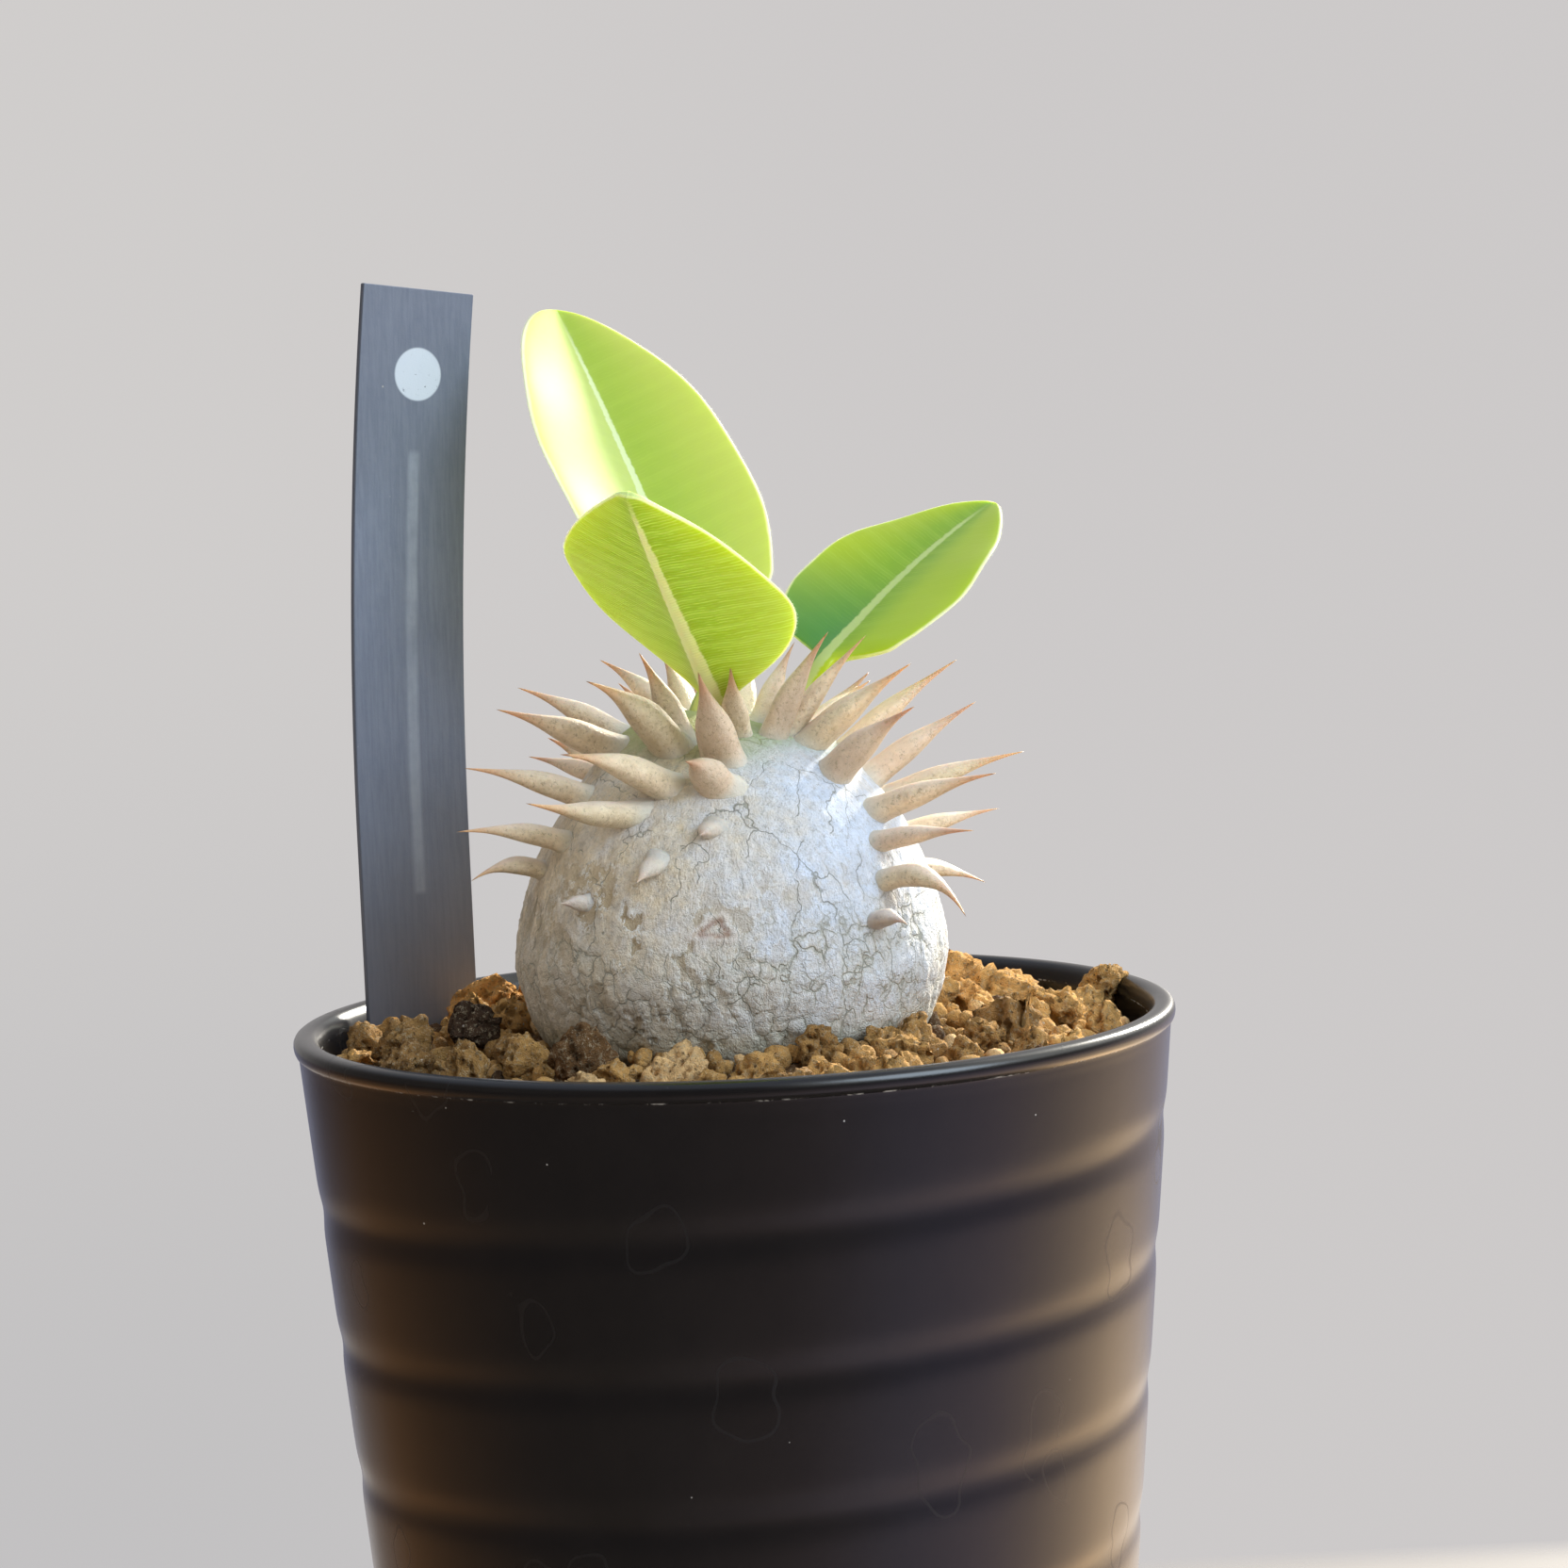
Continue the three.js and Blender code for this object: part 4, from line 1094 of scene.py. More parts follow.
def blade_width(leaf, share):
    """Half width of the blade, with its stalk at one end and its rounded tip at the other."""
    if share > leaf["blunt"]:
        radius, middle, _ = blade_tip(leaf)
        past = share * blade_frame(leaf)[2] - middle
        return max(math.sqrt(max(radius ** 2 - past ** 2, 0)), 0.05)
    wide = pointed_width(leaf, share)
    return (wide ** 4 + STALK_RADIUS ** 4) ** 0.25 if share < 0.5 else max(wide, 0.05)


def blade_ring(leaf, share, columns):
    """Section of the blade at a share of its length, with its own places for the finish."""
    base, chord, length, facing = blade_frame(leaf)
    bow = leaf["arch"] * length
    centre = base + chord * share + facing * 2 * bow * share * (1 - share)
    forward = unit(chord + facing * 2 * bow * (1 - 2 * share))
    across = unit(np.cross(forward, facing))
    up = np.cross(across, forward)
    width = blade_width(leaf, share)
    fold = math.radians(leaf["fold"]) * smooth(share, 0, 0.15)
    reach = np.abs(columns) * width
    rounded = np.sqrt(reach ** 2 + 0.5) - math.sqrt(0.5)
    ripple = RIPPLE_HEIGHT * columns ** 2 * math.sin(share * RIPPLE_RATE + leaf["half_width"])
    thick = BLADE_THICKNESS / 2 * (1 - np.abs(columns) ** 10) ** 0.5
    ridge = leaf["rib"] * (1 - 0.8 * share) * bell(reach, 0, 0.5 + 0.75 * (1 - share))
    stem = 0.45 * (1 - smooth(share, 0, 0.25)) * bell(reach, 0, 1.5)
    middle = centre + np.outer(np.sign(columns) * reach * math.cos(fold), across)
    middle = middle + np.outer(rounded * math.sin(fold) + ripple * smooth(share, 0.1, 0.5), up)
    upper = middle + np.outer(thick + 0.05 * ridge + stem, up)
    lower = middle - np.outer(thick + 0.5 * ridge + stem, up)
    return upper, lower, width


def blade_shares(leaf, first, last, count):
    """Shares of the blade's length, closer together towards the tip."""
    return np.sin(np.linspace(first, last, count) * math.pi / 2) ** 1.15 * blade_tip(leaf)[2]


def make_leaf(name, leaf, finish):
    """One closed skin: a round stalk that flattens into the folded, arched blade."""
    spread = np.sin(np.linspace(-1, 1, BLADE_COLUMNS) * math.pi / 2)
    count = 2 * BLADE_COLUMNS - 2
    shares = blade_shares(leaf, 0.02, 0.998, BLADE_ROWS)
    columns = np.concatenate([spread, spread[::-1][1:-1]])
    sides = np.concatenate([np.ones(BLADE_COLUMNS), -np.ones(BLADE_COLUMNS - 2)])
    blade, rows = [], []
    for share in shares:
        upper, lower, width = blade_ring(leaf, share, spread)
        blade.append(np.vstack([upper, lower[::-1][1:-1]]))
        rows.append((share, width))
    socket, base = np.array(leaf["socket"], float), np.array(leaf["base"], float)
    run = base - socket
    first = blade[0] - blade[0].mean(0)
    way = unit(run)
    across = unit(first[BLADE_COLUMNS - 1] - first[0])
    across = unit(across - way * across.dot(way))
    up = np.cross(across, way)
    angle = math.pi - all_round(count)
    circle = np.outer(np.cos(angle), across) + np.outer(np.sin(angle), up)
    stalk = []
    for step in np.linspace(0, 0.9, STALK_ROWS):
        mix = smooth(step, 0.45, 1.05)
        round_ring = socket + run * step + circle * STALK_RADIUS
        flat_ring = socket + run * step + first
        stalk.append(round_ring * (1 - mix) + flat_ring * mix)
    tip = blade[-1].mean(0) + unit(np.array(leaf["tip"]) - base) * 0.05
    points, faces = closed_skin(socket, [*stalk, *blade], tip)
    piece = new_object(name, points, faces, finish)
    stalk_points = 1 + STALK_ROWS * count
    along, wide = np.repeat(rows, count, axis=0).T
    mark(
        piece,
        along=[*[0.0] * stalk_points, *along, blade_tip(leaf)[2]],
        half_width=[*[STALK_RADIUS] * stalk_points, *wide, 0.1],
        across=[0.0, *np.tile(columns, STALK_ROWS + BLADE_ROWS), 0.0],
        upper=[1.0, *np.tile(sides, STALK_ROWS + BLADE_ROWS), 1.0],
        length=np.full(len(points), blade_frame(leaf)[2]),
    )
    dress(piece, "leaf", name.removesuffix("_blade"))


def leaf_finish(name, look):
    """Soft green blade: side veins, a pale ragged midrib and a cream margin; some blades also carry painted
    sunlight on one half, painted light shining through the other half and painted shade near the base.
    """
    material, tree = new_finish(name)
    along, across, width, length, upper = tree.stored("along", "across", "half_width", "length", "upper")
    out = tree.calc("ABSOLUTE", across)
    out_mm = tree.times(out, width)
    place = tree.place_mm()
    wander = tree.noise(place, 0.35, 2.0)
    slope = tree.times_plus(out_mm, VEIN_SLOPE, tree.times(along, length))
    bent = tree.times_plus(wander, 0.45, slope)
    strand = tree.put("ShaderNodeCombineXYZ", {
        0: tree.times(bent, 2.4),
        1: tree.times(out_mm, 0.3),
        2: tree.times(tree.calc("SIGN", across), 9.0),
    })[0]
    strands = tree.noise(strand, 1.0, 3.0, 0.65)
    veins = tree.times_plus(tree.calc("SINE", tree.times(bent, 15.0)), 0.5, 0.5)
    lines = tree.times(tree.fade(veins, 0.6, 0.95), tree.fade(strands, 0.44, 0.56))
    main_veins = tree.times_plus(tree.calc("SINE", tree.times(bent, 2.3)), 0.5, 0.5)
    base_shade = tree.fall(along, 0.08, 0.55, look["base_shade"])
    ragged = tree.minus(tree.noise(place, 1.7, 3.0), 0.5)
    rib_width = tree.times_plus(tree.minus(1.0, along), 1.15 * look["rib"], 0.13)
    off_rib = tree.minus(out_mm, tree.times_plus(ragged, 0.5, rib_width))
    rib = tree.times(tree.fall(off_rib, -0.12, 0.16), tree.fall(along, 0.8, 1.0))
    inset = tree.times_plus(tree.minus(wander, 0.5), 0.3, tree.minus(width, out_mm))
    margin = tree.times(
        tree.fall(inset, look["margin"] * 0.2, look["margin"]),
        tree.fade(along, 0.03, 0.12), tree.fade(along, 0.93, 0.99, 1.0, 0.2),
    )
    veined, turned = look["veins"], 0.5 * look["hidden_face"]
    colour = tree.coat(
        tree.blend(tree.fade(out, 0.1, 0.95), look["inner"], look["outer"]),
        clouds=(tree.times(tree.grain(place, 6.0, 1.6), 0.3), look["outer"]),
        main_veins=(tree.times(tree.fade(main_veins, 0.55, 1.0), 0.04 + 0.2 * veined), VEIN_COLOUR),
        fine_veins=(tree.times(lines, veined), VEIN_COLOUR),
        base_shade=(tree.times(base_shade, tree.fall(across, -0.08, 0.08)), (0.05, 0.24, 0.05)),
        # painted light: one half of the blade is pushed to bright yellow-green as if lit through from
        # behind
        right_glow=(tree.fade(across, 0.04, 0.5, 0.0, look["right_glow"]), (0.4, 0.5, 0.002)),
        # painted sunlight: one half of the blade is lightened toward pale cream where the sun falls on it
        left_bloom=(tree.fall(across, -0.03, 0.03, look["bloom"]), (0.78, 0.84, 0.34)),
        hidden_face=(tree.fade(upper, -turned, turned, 0.0, 0.75), look["hidden_colour"]),
        midrib=(tree.times(rib, 0.95), look["rib_colour"]),
        margin=(tree.times(margin, 0.85), (0.8, 0.81, 0.52)),
    )
    rough = tree.times_plus(margin, 0.3, tree.times_plus(strands, 0.2, 0.3))
    relief = tree.times_plus(strands, 0.7, tree.times(veins, veined))
    tree.shade({
        "Base Color": colour, "Roughness": rough, "Specular IOR Level": look["shine"],
        "Normal": tree.bump(relief, 0.15 + 0.24 * veined, 0.06),
        "Subsurface Weight": 0.55, "Subsurface Radius": (0.8, 1.0, 0.25), "Subsurface Scale": 0.0016,
        "Sheen Weight": 0.12, "Sheen Roughness": 0.4,
    })
    return material


def make_hair_tree():
    """Short stiff hairs along a margin line, one every spacing, leaning a little at random."""
    inputs = {"Spacing": (FLOAT, HAIR_SPACING * MM), "Hair length": (FLOAT, HAIR_LENGTH * MM)}
    inputs.update({"Hair radius": (FLOAT, HAIR_RADIUS * MM), "Seed": ("NodeSocketInt", 3)})
    tree, given, result = geometry_tree("margin_hairs", inputs)
    line = tree.put("GeometryNodeMeshToCurve", {0: given["Geometry"]})[0]
    inputs = {"Curve": line, "Length": given["Spacing"]}
    even = tree.put("GeometryNodeResampleCurve", inputs, mode="LENGTH")[0]
    inputs = {"Vertices": 3, "Radius Top": 0.0, "Radius Bottom": given["Hair radius"]}
    inputs["Depth"] = given["Hair length"]
    cone = tree.put("GeometryNodeMeshCone", inputs, fill_type="NGON")["Mesh"]
    inputs = {0: (-0.6, -0.6, -0.6), 1: (0.6, 0.6, 0.6), "Seed": given["Seed"]}
    lean = tree.put("FunctionNodeRandomValue", inputs, data_type="FLOAT_VECTOR")[0]
    way = tree.vector("ADD", tree.named("outward", "FLOAT_VECTOR"), lean)
    turn = tree.put("FunctionNodeAlignRotationToVector", {"Vector": way}, axis="Z")[0]
    inputs = {2: 0.45, 3: 1.15, "Seed": given["Seed"]}
    size = tree.put("FunctionNodeRandomValue", inputs, data_type="FLOAT")[1]
    inputs = {"Points": even, "Instance": cone, "Rotation": turn, "Scale": size}
    return close_tree(tree, tree.put("GeometryNodeInstanceOnPoints", inputs)[0], given, result)


def make_hairs(name, leaf, tree, finish):
    """Margin line of one blade with the way out of it, then its hairs."""
    points, ways = [], []
    shares = blade_shares(leaf, 0.08, 0.995, HAIR_LINE_ROWS)
    for side, order in ((0, shares), (1, shares[::-1])):
        for share in order:
            upper, lower, _ = blade_ring(leaf, share, np.array([-1.0, -0.9, 0.9, 1.0]))
            edge, inner = (0, 1) if side == 0 else (3, 2)
            points.append((upper[edge] + lower[edge]) / 2)
            ways.append(unit(upper[edge] + lower[edge] - upper[inner] - lower[inner]))
    links = [(k, k + 1) for k in range(len(points) - 1) if k != len(shares) - 1]
    hairs = new_object(name, points, [], edges=links)
    store(hairs, "outward", ways, "FLOAT_VECTOR")
    run_nodes(hairs, tree, {"Finish": finish}, finish)
    dress(hairs, "leaf")


def hair_finish():
    """Pale, slightly uneven hairs."""
    material, tree = new_finish("pale_hair")
    colour = tree.blend(tree.grain(tree.place_mm(), 2.0, 2.0), (0.72, 0.76, 0.5), (0.92, 0.93, 0.8))
    tree.shade({"Base Color": colour, "Roughness": 0.5})
    return material


# Plant tag


def tag_ring(height, width, thickness):
    """Section of the strip with chamfered corners, on its bowed middle line."""
    share = max(0, (height - TAG_BOW_START) / (TAG_TOP - TAG_BOW_START))
    slope = 2 * TAG_BOW * share / (TAG_TOP - TAG_BOW_START)
    forward = unit((slope, 0, 1))
    facing = math.radians(TAG_FACING)
    across = np.array([math.cos(facing), math.sin(facing), 0])
    across = unit(across - forward * across.dot(forward))
    normal = np.cross(forward, across)
    centre = np.array([TAG_PLACE[0] + TAG_BOW * share ** 2, TAG_PLACE[1], height])
    wide, thick = width / 2, thickness / 2
    cut = min(TAG_CHAMFER, wide / 2)
    flat = (-wide + cut, -wide / 2, 0, wide / 2, wide - cut)
    corners = [(-wide, cut - thick), *((u, -thick) for u in flat), (wide, cut - thick)]
    corners += [(-u, -v) for u, v in corners]
    ring = [centre + across * u + normal * v for u, v in corners]
    return ring, [u for u, _ in corners], [v for _, v in corners]


def make_tag(finish):
    """The strip from its point in the soil to its chamfered top."""
    heights = [TAG_POINT, *np.linspace(TAG_SHOULDER, TAG_TOP - TAG_CHAMFER, TAG_ROWS), TAG_TOP]
    rings, across, sides, along = [], [], [], []
    for height in heights:
        width = TAG_POINT_WIDTH if height == TAG_POINT else TAG_WIDTH
        thick = TAG_THICKNESS
        if height == TAG_TOP:
            width, thick = TAG_WIDTH - 2 * TAG_CHAMFER, TAG_THICKNESS - 2 * TAG_CHAMFER
        ring, ring_across, ring_sides = tag_ring(height, width, thick)
        rings.append(ring)
        across += ring_across
        sides += ring_sides
        along += [height] * len(ring)
    points, faces = closed_skin((*TAG_PLACE, TAG_POINT), rings, np.mean(rings[-1], 0))
    tag = new_object("name_tag_strip", points, faces, finish)
    tag.data.set_sharp_from_angle(angle=math.radians(25))
    mark(tag, across=[0, *across, 0], side=[0, *sides, 0], along=[TAG_POINT, *along, TAG_TOP])
    dress(tag, "tag_plastic", "name_tag")


def tag_finish():
    """Matte blue-grey strip with a plain pale dot, one ruled line and soil stains, and painted light on its
    lower part.
    """
    material, tree = new_finish("tag_matte_plastic")
    across, along, side = tree.stored("across", "along", "side")
    place = tree.place_mm()
    broad = tree.grain(place, 9.0, 1.6)
    fine = tree.grain(place, 0.7, 2.0)
    brushed = tree.noise(tree.stretched(place, (2.4, 2.4, 0.16)), 1.0, 3.0, 0.6)
    uneven = tree.times_plus(tree.minus(broad, 0.5), 5.0, along)
    dirt = tree.plus(tree.fall(uneven, 86.5, 91.0, 0.45), tree.fade(along, 142.0, 152.0, 0.0, 0.2))
    spot = tree.put("ShaderNodeCombineXYZ", {0: across, 1: along, 2: 0.0})[0]
    away = tree.vector("DISTANCE", spot, TAG_DOT_PLACE)
    dot = tree.times(tree.fall(away, TAG_DOT_RADIUS - 0.25, TAG_DOT_RADIUS), tree.fade(fine, 0.12, 0.3))
    off = tree.calc("ABSOLUTE", tree.minus(across, TAG_RULE_ACROSS))
    low, high = TAG_RULE_ENDS
    ends = tree.times(tree.fade(along, low, low + 0.8), tree.fall(along, high - 0.8, high))
    rule = tree.times(tree.fall(off, 0.35, 0.95), ends)
    printed = tree.most(dot, tree.times(rule, tree.fade(broad, 0.2, 0.7, 0.14, 0.3)))
    edge = tree.fade(tree.calc("ABSOLUTE", across), TAG_WIDTH / 2 - 0.16, TAG_WIDTH / 2 - 0.04)
    colour = tree.coat(
        tree.blend(broad, (0.112, 0.134, 0.19), (0.148, 0.172, 0.235)),
        haze=(tree.times(fine, 0.3), (0.22, 0.24, 0.29)),
        brushed=(tree.fade(brushed, 0.35, 0.65, 0.0, 0.22), (0.26, 0.29, 0.35)),
        # painted light: the lower strip is lightened where it sits low and shaded
        pale_foot=(tree.fall(along, 92.0, 124.0, 0.34), (0.27, 0.28, 0.31)),
        dirt=(dirt, (0.05, 0.05, 0.055)),
        printed=(tree.times(printed, tree.calc("LESS_THAN", side, -0.3)), (0.54, 0.59, 0.65)),
        specks=(tree.times(tree.specks(place, 2.2, 0.06, 0.2), 0.5), (0.5, 0.46, 0.4)),
        dark_edge=(tree.times(edge, 0.6), (0.05, 0.055, 0.07)),
    )
    rough = tree.times_plus(fine, 0.25, 0.36)
    tree.shade({"Base Color": colour, "Roughness": rough, "Normal": tree.bump(fine, 0.35, 0.04)})
    return material


# Soil


def soil_height(x, y):
    distance = np.hypot(x, y)
    height = SOIL_EDGE_HEIGHT + SOIL_HEAP * (1 - smooth(distance, 18, 42))
    for mx, my, spread, rise in SOIL_MOUNDS:
        height = height + rise * np.exp(-((x - mx) ** 2 + (y - my) ** 2) / (2 * spread ** 2))
    return height


def soil_bed():
    """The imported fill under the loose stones, down to the pot's floor."""
    angle = all_round(SOIL_SEGMENTS)
    low = FLOOR_TOP + GAP
    levels = [(inner_radius(low) - 2.4, low), (inner_radius(8) - GAP, 8), (inner_radius(84) - GAP, 84)]
    rings = [level_ring(radius, angle, height) for radius, height in levels]
    for radius in np.linspace(inner_radius(86) - GAP, 2, 40):
        x, y = radius * np.cos(angle), radius * np.sin(angle)
        rough = 0.5 * np.sin(x * 1.7 + 2 * np.sin(y * 0.9)) * np.sin(y * 1.9 + 2 * np.sin(x * 1.1))
        rings.append(np.stack([x, y, soil_height(x, y) - 0.6 + rough], -1))
    return closed_skin((0, 0, low), rings, (0, 0, float(soil_height(0, 0)) - 0.6))


def stone_shape(name, seed, detail):
    """An angular pebble: a ball cut by random flats, on a plain icosphere mesh."""
    draw = random.Random(seed)
    build = bmesh.new()
    bmesh.ops.create_icosphere(build, subdivisions=detail, radius=1)
    flats = unit([[draw.gauss(0, 1) for _ in range(3)] for _ in range(13)])
    depths = np.array([draw.uniform(0.62, 0.98) for _ in range(13)])
    size = Vector((1.0, draw.uniform(0.75, 0.95), draw.uniform(0.6, 0.85)))
    for corner in build.verts:
        way = np.array(corner.co.normalized())
        facing = flats @ way
        reach = min(1.08, min(depth / max(face, 0.001) for face, depth in zip(facing, depths)))
        corner.co = Vector(way * reach) * size
    mesh = bpy.data.meshes.new(name)
    build.to_mesh(mesh)
    build.free()
    return bpy.data.objects.new(name, mesh)


def stone_collection(name, seed, detail):
    shapes = bpy.data.collections.new(name)
    for k in range(STONE_SHAPES):
        shapes.objects.link(stone_shape(f"{name}_{k:02d}", seed + k, detail))
    return shapes


def make_stone_tree():
    """Sets a pebble shape on each point, then roughens and pits every one differently."""
    inputs = {"Shapes": ("NodeSocketCollection", None), "Rough depth": (FLOAT, 0.5)}
    inputs.update({"Rough size": (FLOAT, 1.25), "Pit depth": (FLOAT, 0.3), "Pit size": (FLOAT, 0.8)})
    tree, given, result = geometry_tree("loose_stones", inputs)
    inputs = {"Collection": given["Shapes"], "Separate Children": True, "Reset Children": True}
    shapes = tree.put("GeometryNodeCollectionInfo", inputs)[0]
    turn = tree.put("FunctionNodeEulerToRotation", {0: tree.named("turn", "FLOAT_VECTOR")})[0]
    stones = tree.put("GeometryNodeInstanceOnPoints", {
        "Points": given["Geometry"], "Instance": shapes, "Pick Instance": True,
        "Instance Index": tree.named("shape", "INT"), "Rotation": turn, "Scale": tree.named("size"),
    })[0]
    whole = tree.put("GeometryNodeRealizeInstances", {0: stones})[0]
    place = tree.place_mm()
    lumps = tree.noise(place, tree.calc("DIVIDE", 1.0, given["Rough size"]), 4.0, 0.6)
    lumps = tree.times(tree.minus(lumps, 0.5), given["Rough depth"])
    holes = tree.cells(place, tree.calc("DIVIDE", 1.0, given["Pit size"]))["Distance"]
    holes = tree.times(tree.fall(holes, 0.1, 0.55), given["Pit depth"])
    height = tree.times(tree.minus(lumps, holes), tree.named("size"))
    return close_tree(tree, tree.raised(whole, height), given, result)


def stone_points(name, stones):
    """A point for each stone (x, y, z, half size, tone, shape), with a steady random turn."""
    draw = random.Random(len(stones))
    made = new_object(name, [stone[:3] for stone in stones], [])
    mark(made, size=[stone[3] * MM for stone in stones], tone=[stone[4] for stone in stones])
    turns = [[draw.uniform(0, 2 * math.pi) for _ in range(3)] for _ in stones]
    store(made, "turn", turns, "FLOAT_VECTOR")
    layer = made.data.attributes.new("shape", "INT", "POINT")
    layer.data.foreach_set("value", [stone[5] for stone in stones])
    return made


def soil_tone(x, y, draw):
    """Orange at the back left and right, khaki in front, now and then dark or pale."""
    tone = 0.45 + 0.3 * math.exp(-((x + 25) ** 2 + (y - 16) ** 2) / 150)
    tone += 0.28 * math.exp(-((x - 26) ** 2 + (y - 18) ** 2) / 260)
    luck = draw.random()
    if luck < 0.08:
        return 0.05
    if luck > 0.92:
        return 0.92
    return min(0.85, max(0.2, tone + draw.uniform(-0.16, 0.16)))


def in_tag(x, y, size):
    """Whether a stone of that half size would lie in the tag."""
    across = math.radians(TAG_FACING)
    dx, dy = x - TAG_PLACE[0], y - TAG_PLACE[1]
    along_tag = abs(dx * math.cos(across) + dy * math.sin(across))
    off_tag = abs(dy * math.cos(across) - dx * math.sin(across))
    return along_tag < TAG_WIDTH / 2 + size * 0.6 and off_tag < size * 0.8


def scatter(draw, taken, count, size_range, inner, outer, spacing, lift):
    """Stones thrown at random on the soil where they don't crowd the ones that lie there."""
    stones = []
    for _ in range(count * 30):
        if len(stones) == count:
            break
        size = draw.uniform(*size_range)
        radius = math.sqrt(draw.uniform(inner ** 2, (outer - size) ** 2))
        angle = draw.uniform(0, 2 * math.pi)
        x, y = radius * math.cos(angle), radius * math.sin(angle)
        crowd = [math.hypot(x - s[0], y - s[1]) < spacing * (size + s[3]) for s in taken + stones]
        if in_tag(x, y, size) or any(crowd):
            continue
        z = float(soil_height(x, y)) + size * draw.uniform(*lift)
        stones.append((x, y, z, size, soil_tone(x, y, draw), draw.randrange(STONE_SHAPES)))
    return stones


def make_soil(finish):
    """Fill, placed stones, scattered stones and crumbs, joined to one piece."""
    draw = random.Random(5)
    keys = [(x, y, top - size * 0.72, size, tone, shape) for x, y, top, size, tone, shape in KEY_STONES]
    large = scatter(draw, keys, *LARGE_STONES)
    small = scatter(draw, keys + large, *SMALL_STONES)
    crumbs = scatter(draw, [], *CRUMBS)
    tree = make_stone_tree()
    fine_shapes = stone_collection("stone", 40, 4)
    plain_shapes = stone_collection("pebble", 80, 2)
    parts = []
    for name, stones, shapes, rough, pits in (
        ("stones_large", keys + large, fine_shapes, 0.74, 0.34),
        ("stones_small", small + crumbs, plain_shapes, 0.42, 0.0),
    ):
        part = stone_points(name, stones)
        values = {"Shapes": shapes, "Rough depth": rough, "Pit depth": pits, "Finish": finish}
        parts.append(run_nodes(part, tree, values, finish))
    points, faces = soil_bed()
    bed = new_object("soil_granules", points, faces, finish)
    store(bed, "tone", np.full(len(points), 0.12))
    join = bmesh.new()
    for part in (bed, *parts):
        join.from_mesh(part.data)
    join.to_mesh(bed.data)
    join.free()
    bed.data.shade_smooth()
    for part in parts:
        bpy.data.objects.remove(part)
    for shapes in (fine_shapes, plain_shapes):
        for shape in list(shapes.objects):
            bpy.data.objects.remove(shape)
        bpy.data.collections.remove(shapes)
    dress(bed, "soil_granules", "soil")


def soil_finish():
    """Dry porous granules, each with its own tone, dusty on its high points, with painted light on the
    right and back left, painted shade on the left and painted shade in the pores.
    """
    material, tree = new_finish("porous_granules")
    place = tree.place_mm()
    x, y, _ = tree.split(place)
    fine = tree.grain(place, 0.5, 2.6)
    pits = tree.specks(place, 0.6, 0.3, 0.4)
    # painted light and shade: the granules are lightened on the right and at the back left and darkened on
    # the left, as the light falls there
    painted_light_right = tree.times(tree.fade(x, 16, 27), tree.fade(y, 12, 2, 0.0, 0.22))
    painted_light_back_left = tree.times(tree.fade(x, 4, -6), tree.fade(y, 6, 15, 0.0, 0.25))
    painted_shade_left = tree.fade(x, -18, -32, 1.0, 0.8)
    painted_light_and_shade = tree.plus(painted_shade_left, tree.plus(painted_light_right, painted_light_back_left))
    mottled = tree.blend(tree.grain(place, 2.2, 2.2), (0.58, 0.5, 0.42), (1.5, 1.42, 1.28))
    toned = tree.blend(1.0, tree.ramp(tree.stored("tone"), SOIL_TONES), mottled, "MULTIPLY")
    colour = tree.coat(
        tree.blend(1.0, toned, painted_light_and_shade, "MULTIPLY"),
        dust=(tree.fade(fine, 0.55, 0.75, 0.0, 0.5), (0.62, 0.5, 0.32)),
        # the pits are real pores; their near-black colour is painted shade
        pits=(tree.times(pits, 0.55), (0.06, 0.04, 0.022)),
        flecks=(tree.times(tree.specks(place, 0.8, 0.2, 0.2), 0.7), (0.8, 0.72, 0.58)),
    )
    relief = tree.minus(fine, tree.times(pits, 0.6))
    tree.shade({
        "Base Color": colour, "Roughness": 0.92, "Specular IOR Level": 0.25,
        "Normal": tree.bump(relief, 1.0, 0.45),
    })
    return material


# Camera, light and stage


def set_camera():
    """The camera that was fitted to the picture."""
    pitch, yaw, roll = (math.radians(a) for a in (CAMERA_PITCH, CAMERA_YAW, CAMERA_ROLL))
    forward = Vector((math.sin(yaw) * math.cos(pitch), math.cos(yaw) * math.cos(pitch), -math.sin(pitch)))
    right = Vector((math.cos(yaw), -math.sin(yaw), 0))
    up = right.cross(forward)
    side = right * math.cos(roll) + up * math.sin(roll)
    top = up * math.cos(roll) - right * math.sin(roll)
    camera = add_object("camera", bpy.data.cameras.new("camera"))
    camera.data.sensor_width = SENSOR_WIDTH
    camera.data.lens = FOCAL_PIXELS * SENSOR_WIDTH / PHOTO_PIXELS
    camera.data.clip_start = 0.01
    turn = Matrix((side, top, -forward)).transposed().to_4x4()
    camera.matrix_world = Matrix.Translation(Vector(CAMERA_PLACE) * MM) @ turn
    bpy.context.scene.camera = camera


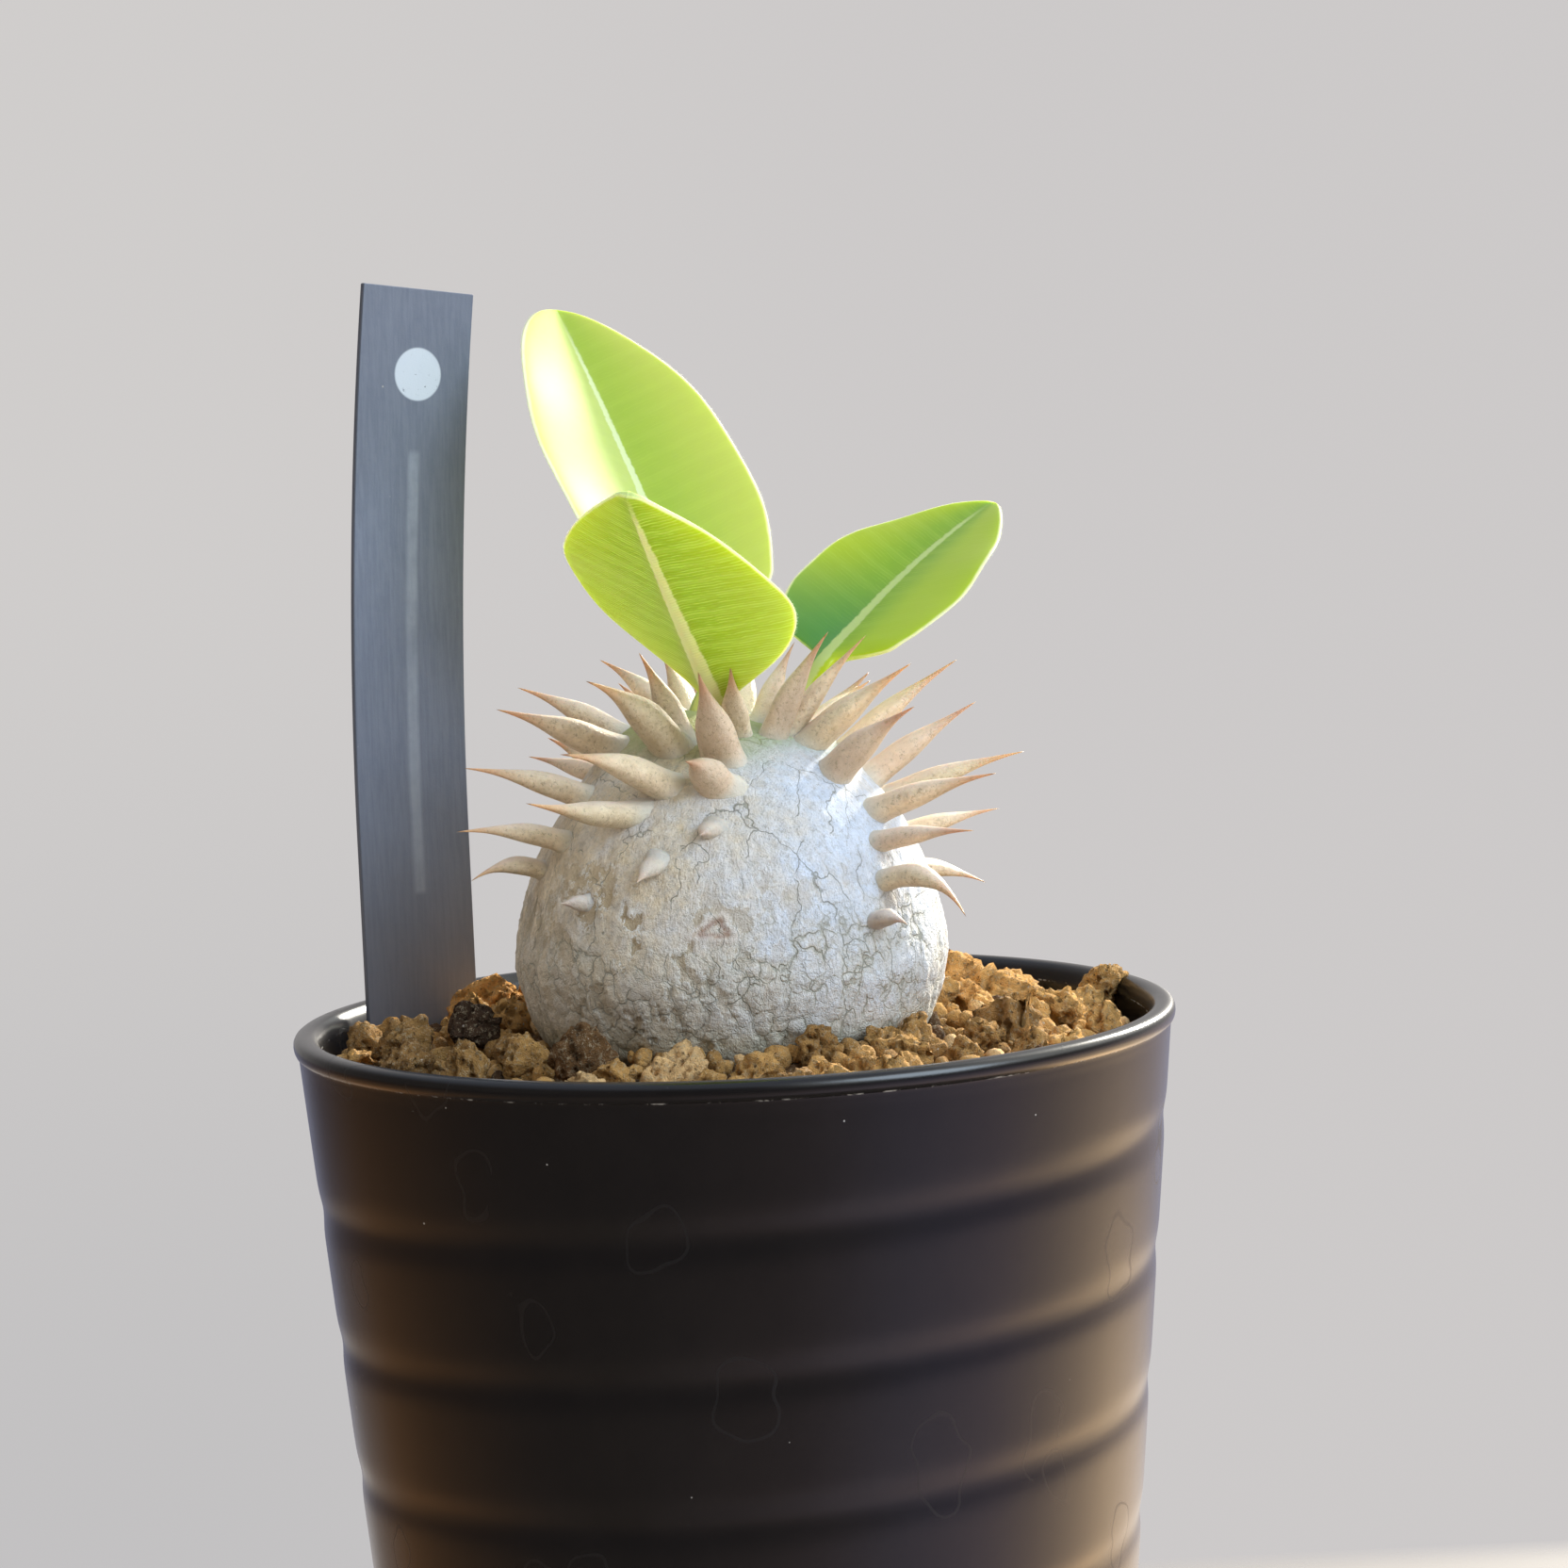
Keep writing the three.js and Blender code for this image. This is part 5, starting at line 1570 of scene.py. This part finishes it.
def set_world():
    """Plain grey backdrop for the eye; a soft room, bright behind and right, for the light."""
    world = bpy.data.worlds.new("studio")
    bpy.context.scene.world = world
    world.use_nodes = True
    world.node_tree.nodes.clear()
    tree = Nodes(world.node_tree)
    x, y, z = tree.split(tree.put("ShaderNodeTexCoord")["Generated"])
    seen = tree.coat(
        tree.blend(tree.fade(z, -0.28, 0.02), (0.545, 0.535, 0.54), (0.63, 0.612, 0.604)),
        right=(tree.fade(x, -0.16, 0.1), (0.607, 0.588, 0.586)),
    )
    room = tree.coat(
        tree.blend(tree.fade(y, -0.3, 0.5), (0.46, 0.44, 0.425), (0.66, 0.64, 0.63)),
        right=(tree.fade(x, 0.35, 0.95), (0.95, 0.93, 0.9)),
        left=(tree.fade(x, -0.4, -1.0), (0.62, 0.55, 0.47)),
        above=(tree.fade(z, 0.45, 0.95), (0.7, 0.78, 0.92)),
    )
    bearing = tree.times_plus(y, 0.5, 0.5)
    bright_side = tree.stretched(tree.ramp(bearing, TABLE_BRIGHT_SIDE), (2.9, 2.9, 2.9))
    table = tree.blend(tree.fade(x, -0.55, 0.45), tree.ramp(bearing, TABLE_DIM_SIDE), bright_side)
    table = tree.coat(
        table,
        shaded=(tree.fade(z, -0.34, -0.22), tree.blend(1.0, table, (0.34, 0.37, 0.52), "MULTIPLY")),
        nearest=(tree.fade(z, -0.4, -0.54), tree.stretched(table, (1.9, 1.75, 1.5))),
        underneath=(tree.fade(z, -0.6, -0.78), (0.1, 0.09, 0.085)),
    )
    mirrored = tree.coat(
        tree.blend(tree.fade(y, -0.1, 0.75), (0.02, 0.024, 0.034), (0.6, 0.58, 0.58)),
        left=(tree.fade(x, -0.2, -0.95), (0.13, 0.12, 0.115)),
    )
    window = tree.times(tree.fade(x, 0.12, 0.5), tree.fade(z, 0.1, 0.35), tree.fall(z, 0.75, 0.95))
    mirrored = tree.coat(
        tree.blend(tree.fade(z, -0.14, -0.04), table, mirrored),
        above=(tree.fade(z, 0.4, 0.9), (0.5, 0.58, 0.72)),
        window=(window, (1.7, 1.75, 1.7)),
    )
    rays = tree.put("ShaderNodeLightPath")
    room = tree.blend(rays["Is Glossy Ray"], room, mirrored)
    colour = tree.blend(rays["Is Camera Ray"], room, seen)
    sky = tree.put("ShaderNodeBackground", {"Color": colour, "Strength": 1.0})
    tree.put("ShaderNodeOutputWorld", {"Surface": sky[0]})


def add_light(name, place, target, size, power, colour):
    """A round lamp, in metres and watts, that faces its target and stays out of the picture."""
    light = bpy.data.lights.new(name, "AREA")
    light.shape, light.size = "DISK", size
    light.energy, light.color = power, colour
    made = add_object(name, light)
    made.location = place
    made.rotation_euler = (Vector(target) - Vector(place)).to_track_quat("-Z", "Y").to_euler()
    made.visible_camera = False


def set_lights():
    middle = (0, 0, 0.11)
    add_light("sun_side", (0.64, 0.88, 0.56), middle, 0.22, 34, (1.0, 0.94, 0.83))
    add_light("sky_side", (0.65, -0.55, 0.6), middle, 0.7, 7.9, (0.66, 0.82, 1.0))


def make_floor():
    """Pale table top whose far edge softly ends behind the pot."""
    near, far, half = -0.9, 0.1, 0.9
    points = [(-half, near, 0), (half, near, 0), (half, far, 0), (-half, far, 0)]
    floor = new_object("table_top", np.array(points) / MM, [[0, 1, 2, 3]])
    material, tree = new_finish("pale_table")
    place = tree.put("ShaderNodeTexCoord")["Object"]
    depth = tree.split(place)[1]
    seen = tree.put("ShaderNodeLightPath")["Is Camera Ray"]
    colour = tree.coat(
        tree.blend(tree.noise(place, 9.0, 3.0), (0.74, 0.66, 0.57), (0.82, 0.75, 0.66)),
        to_the_eye=(tree.times(seen, 0.6), (0.3, 0.28, 0.26)),
        far_strip=(tree.fade(depth, 0.05, 0.075), (0.225, 0.205, 0.19)),
    )
    tree.shade({"Base Color": colour, "Roughness": 0.6, "Alpha": tree.fall(depth, 0.089, 0.102)})
    floor.data.materials.append(material)
    floor.visible_glossy = False


def set_colour():
    view = bpy.context.scene.view_settings
    view.view_transform = "Standard"
    view.look = "None"


# Making of the whole object

set_camera()
set_world()
set_lights()
set_colour()
make_floor()
make_pot(pot_finish())
make_soil(soil_finish())
make_body(bark_finish())
make_spines(spine_finish())
hair_tree = make_hair_tree()
pale_hair = hair_finish()
for leaf_name, leaf_rules in LEAVES.items():
    blade_finish = leaf_finish(leaf_name + "_green", LEAF_LOOKS[leaf_name])
    make_leaf(leaf_name + "_blade", leaf_rules, blade_finish)
    make_hairs(leaf_name + "_hairs", leaf_rules, hair_tree, pale_hair)

make_tag(tag_finish())
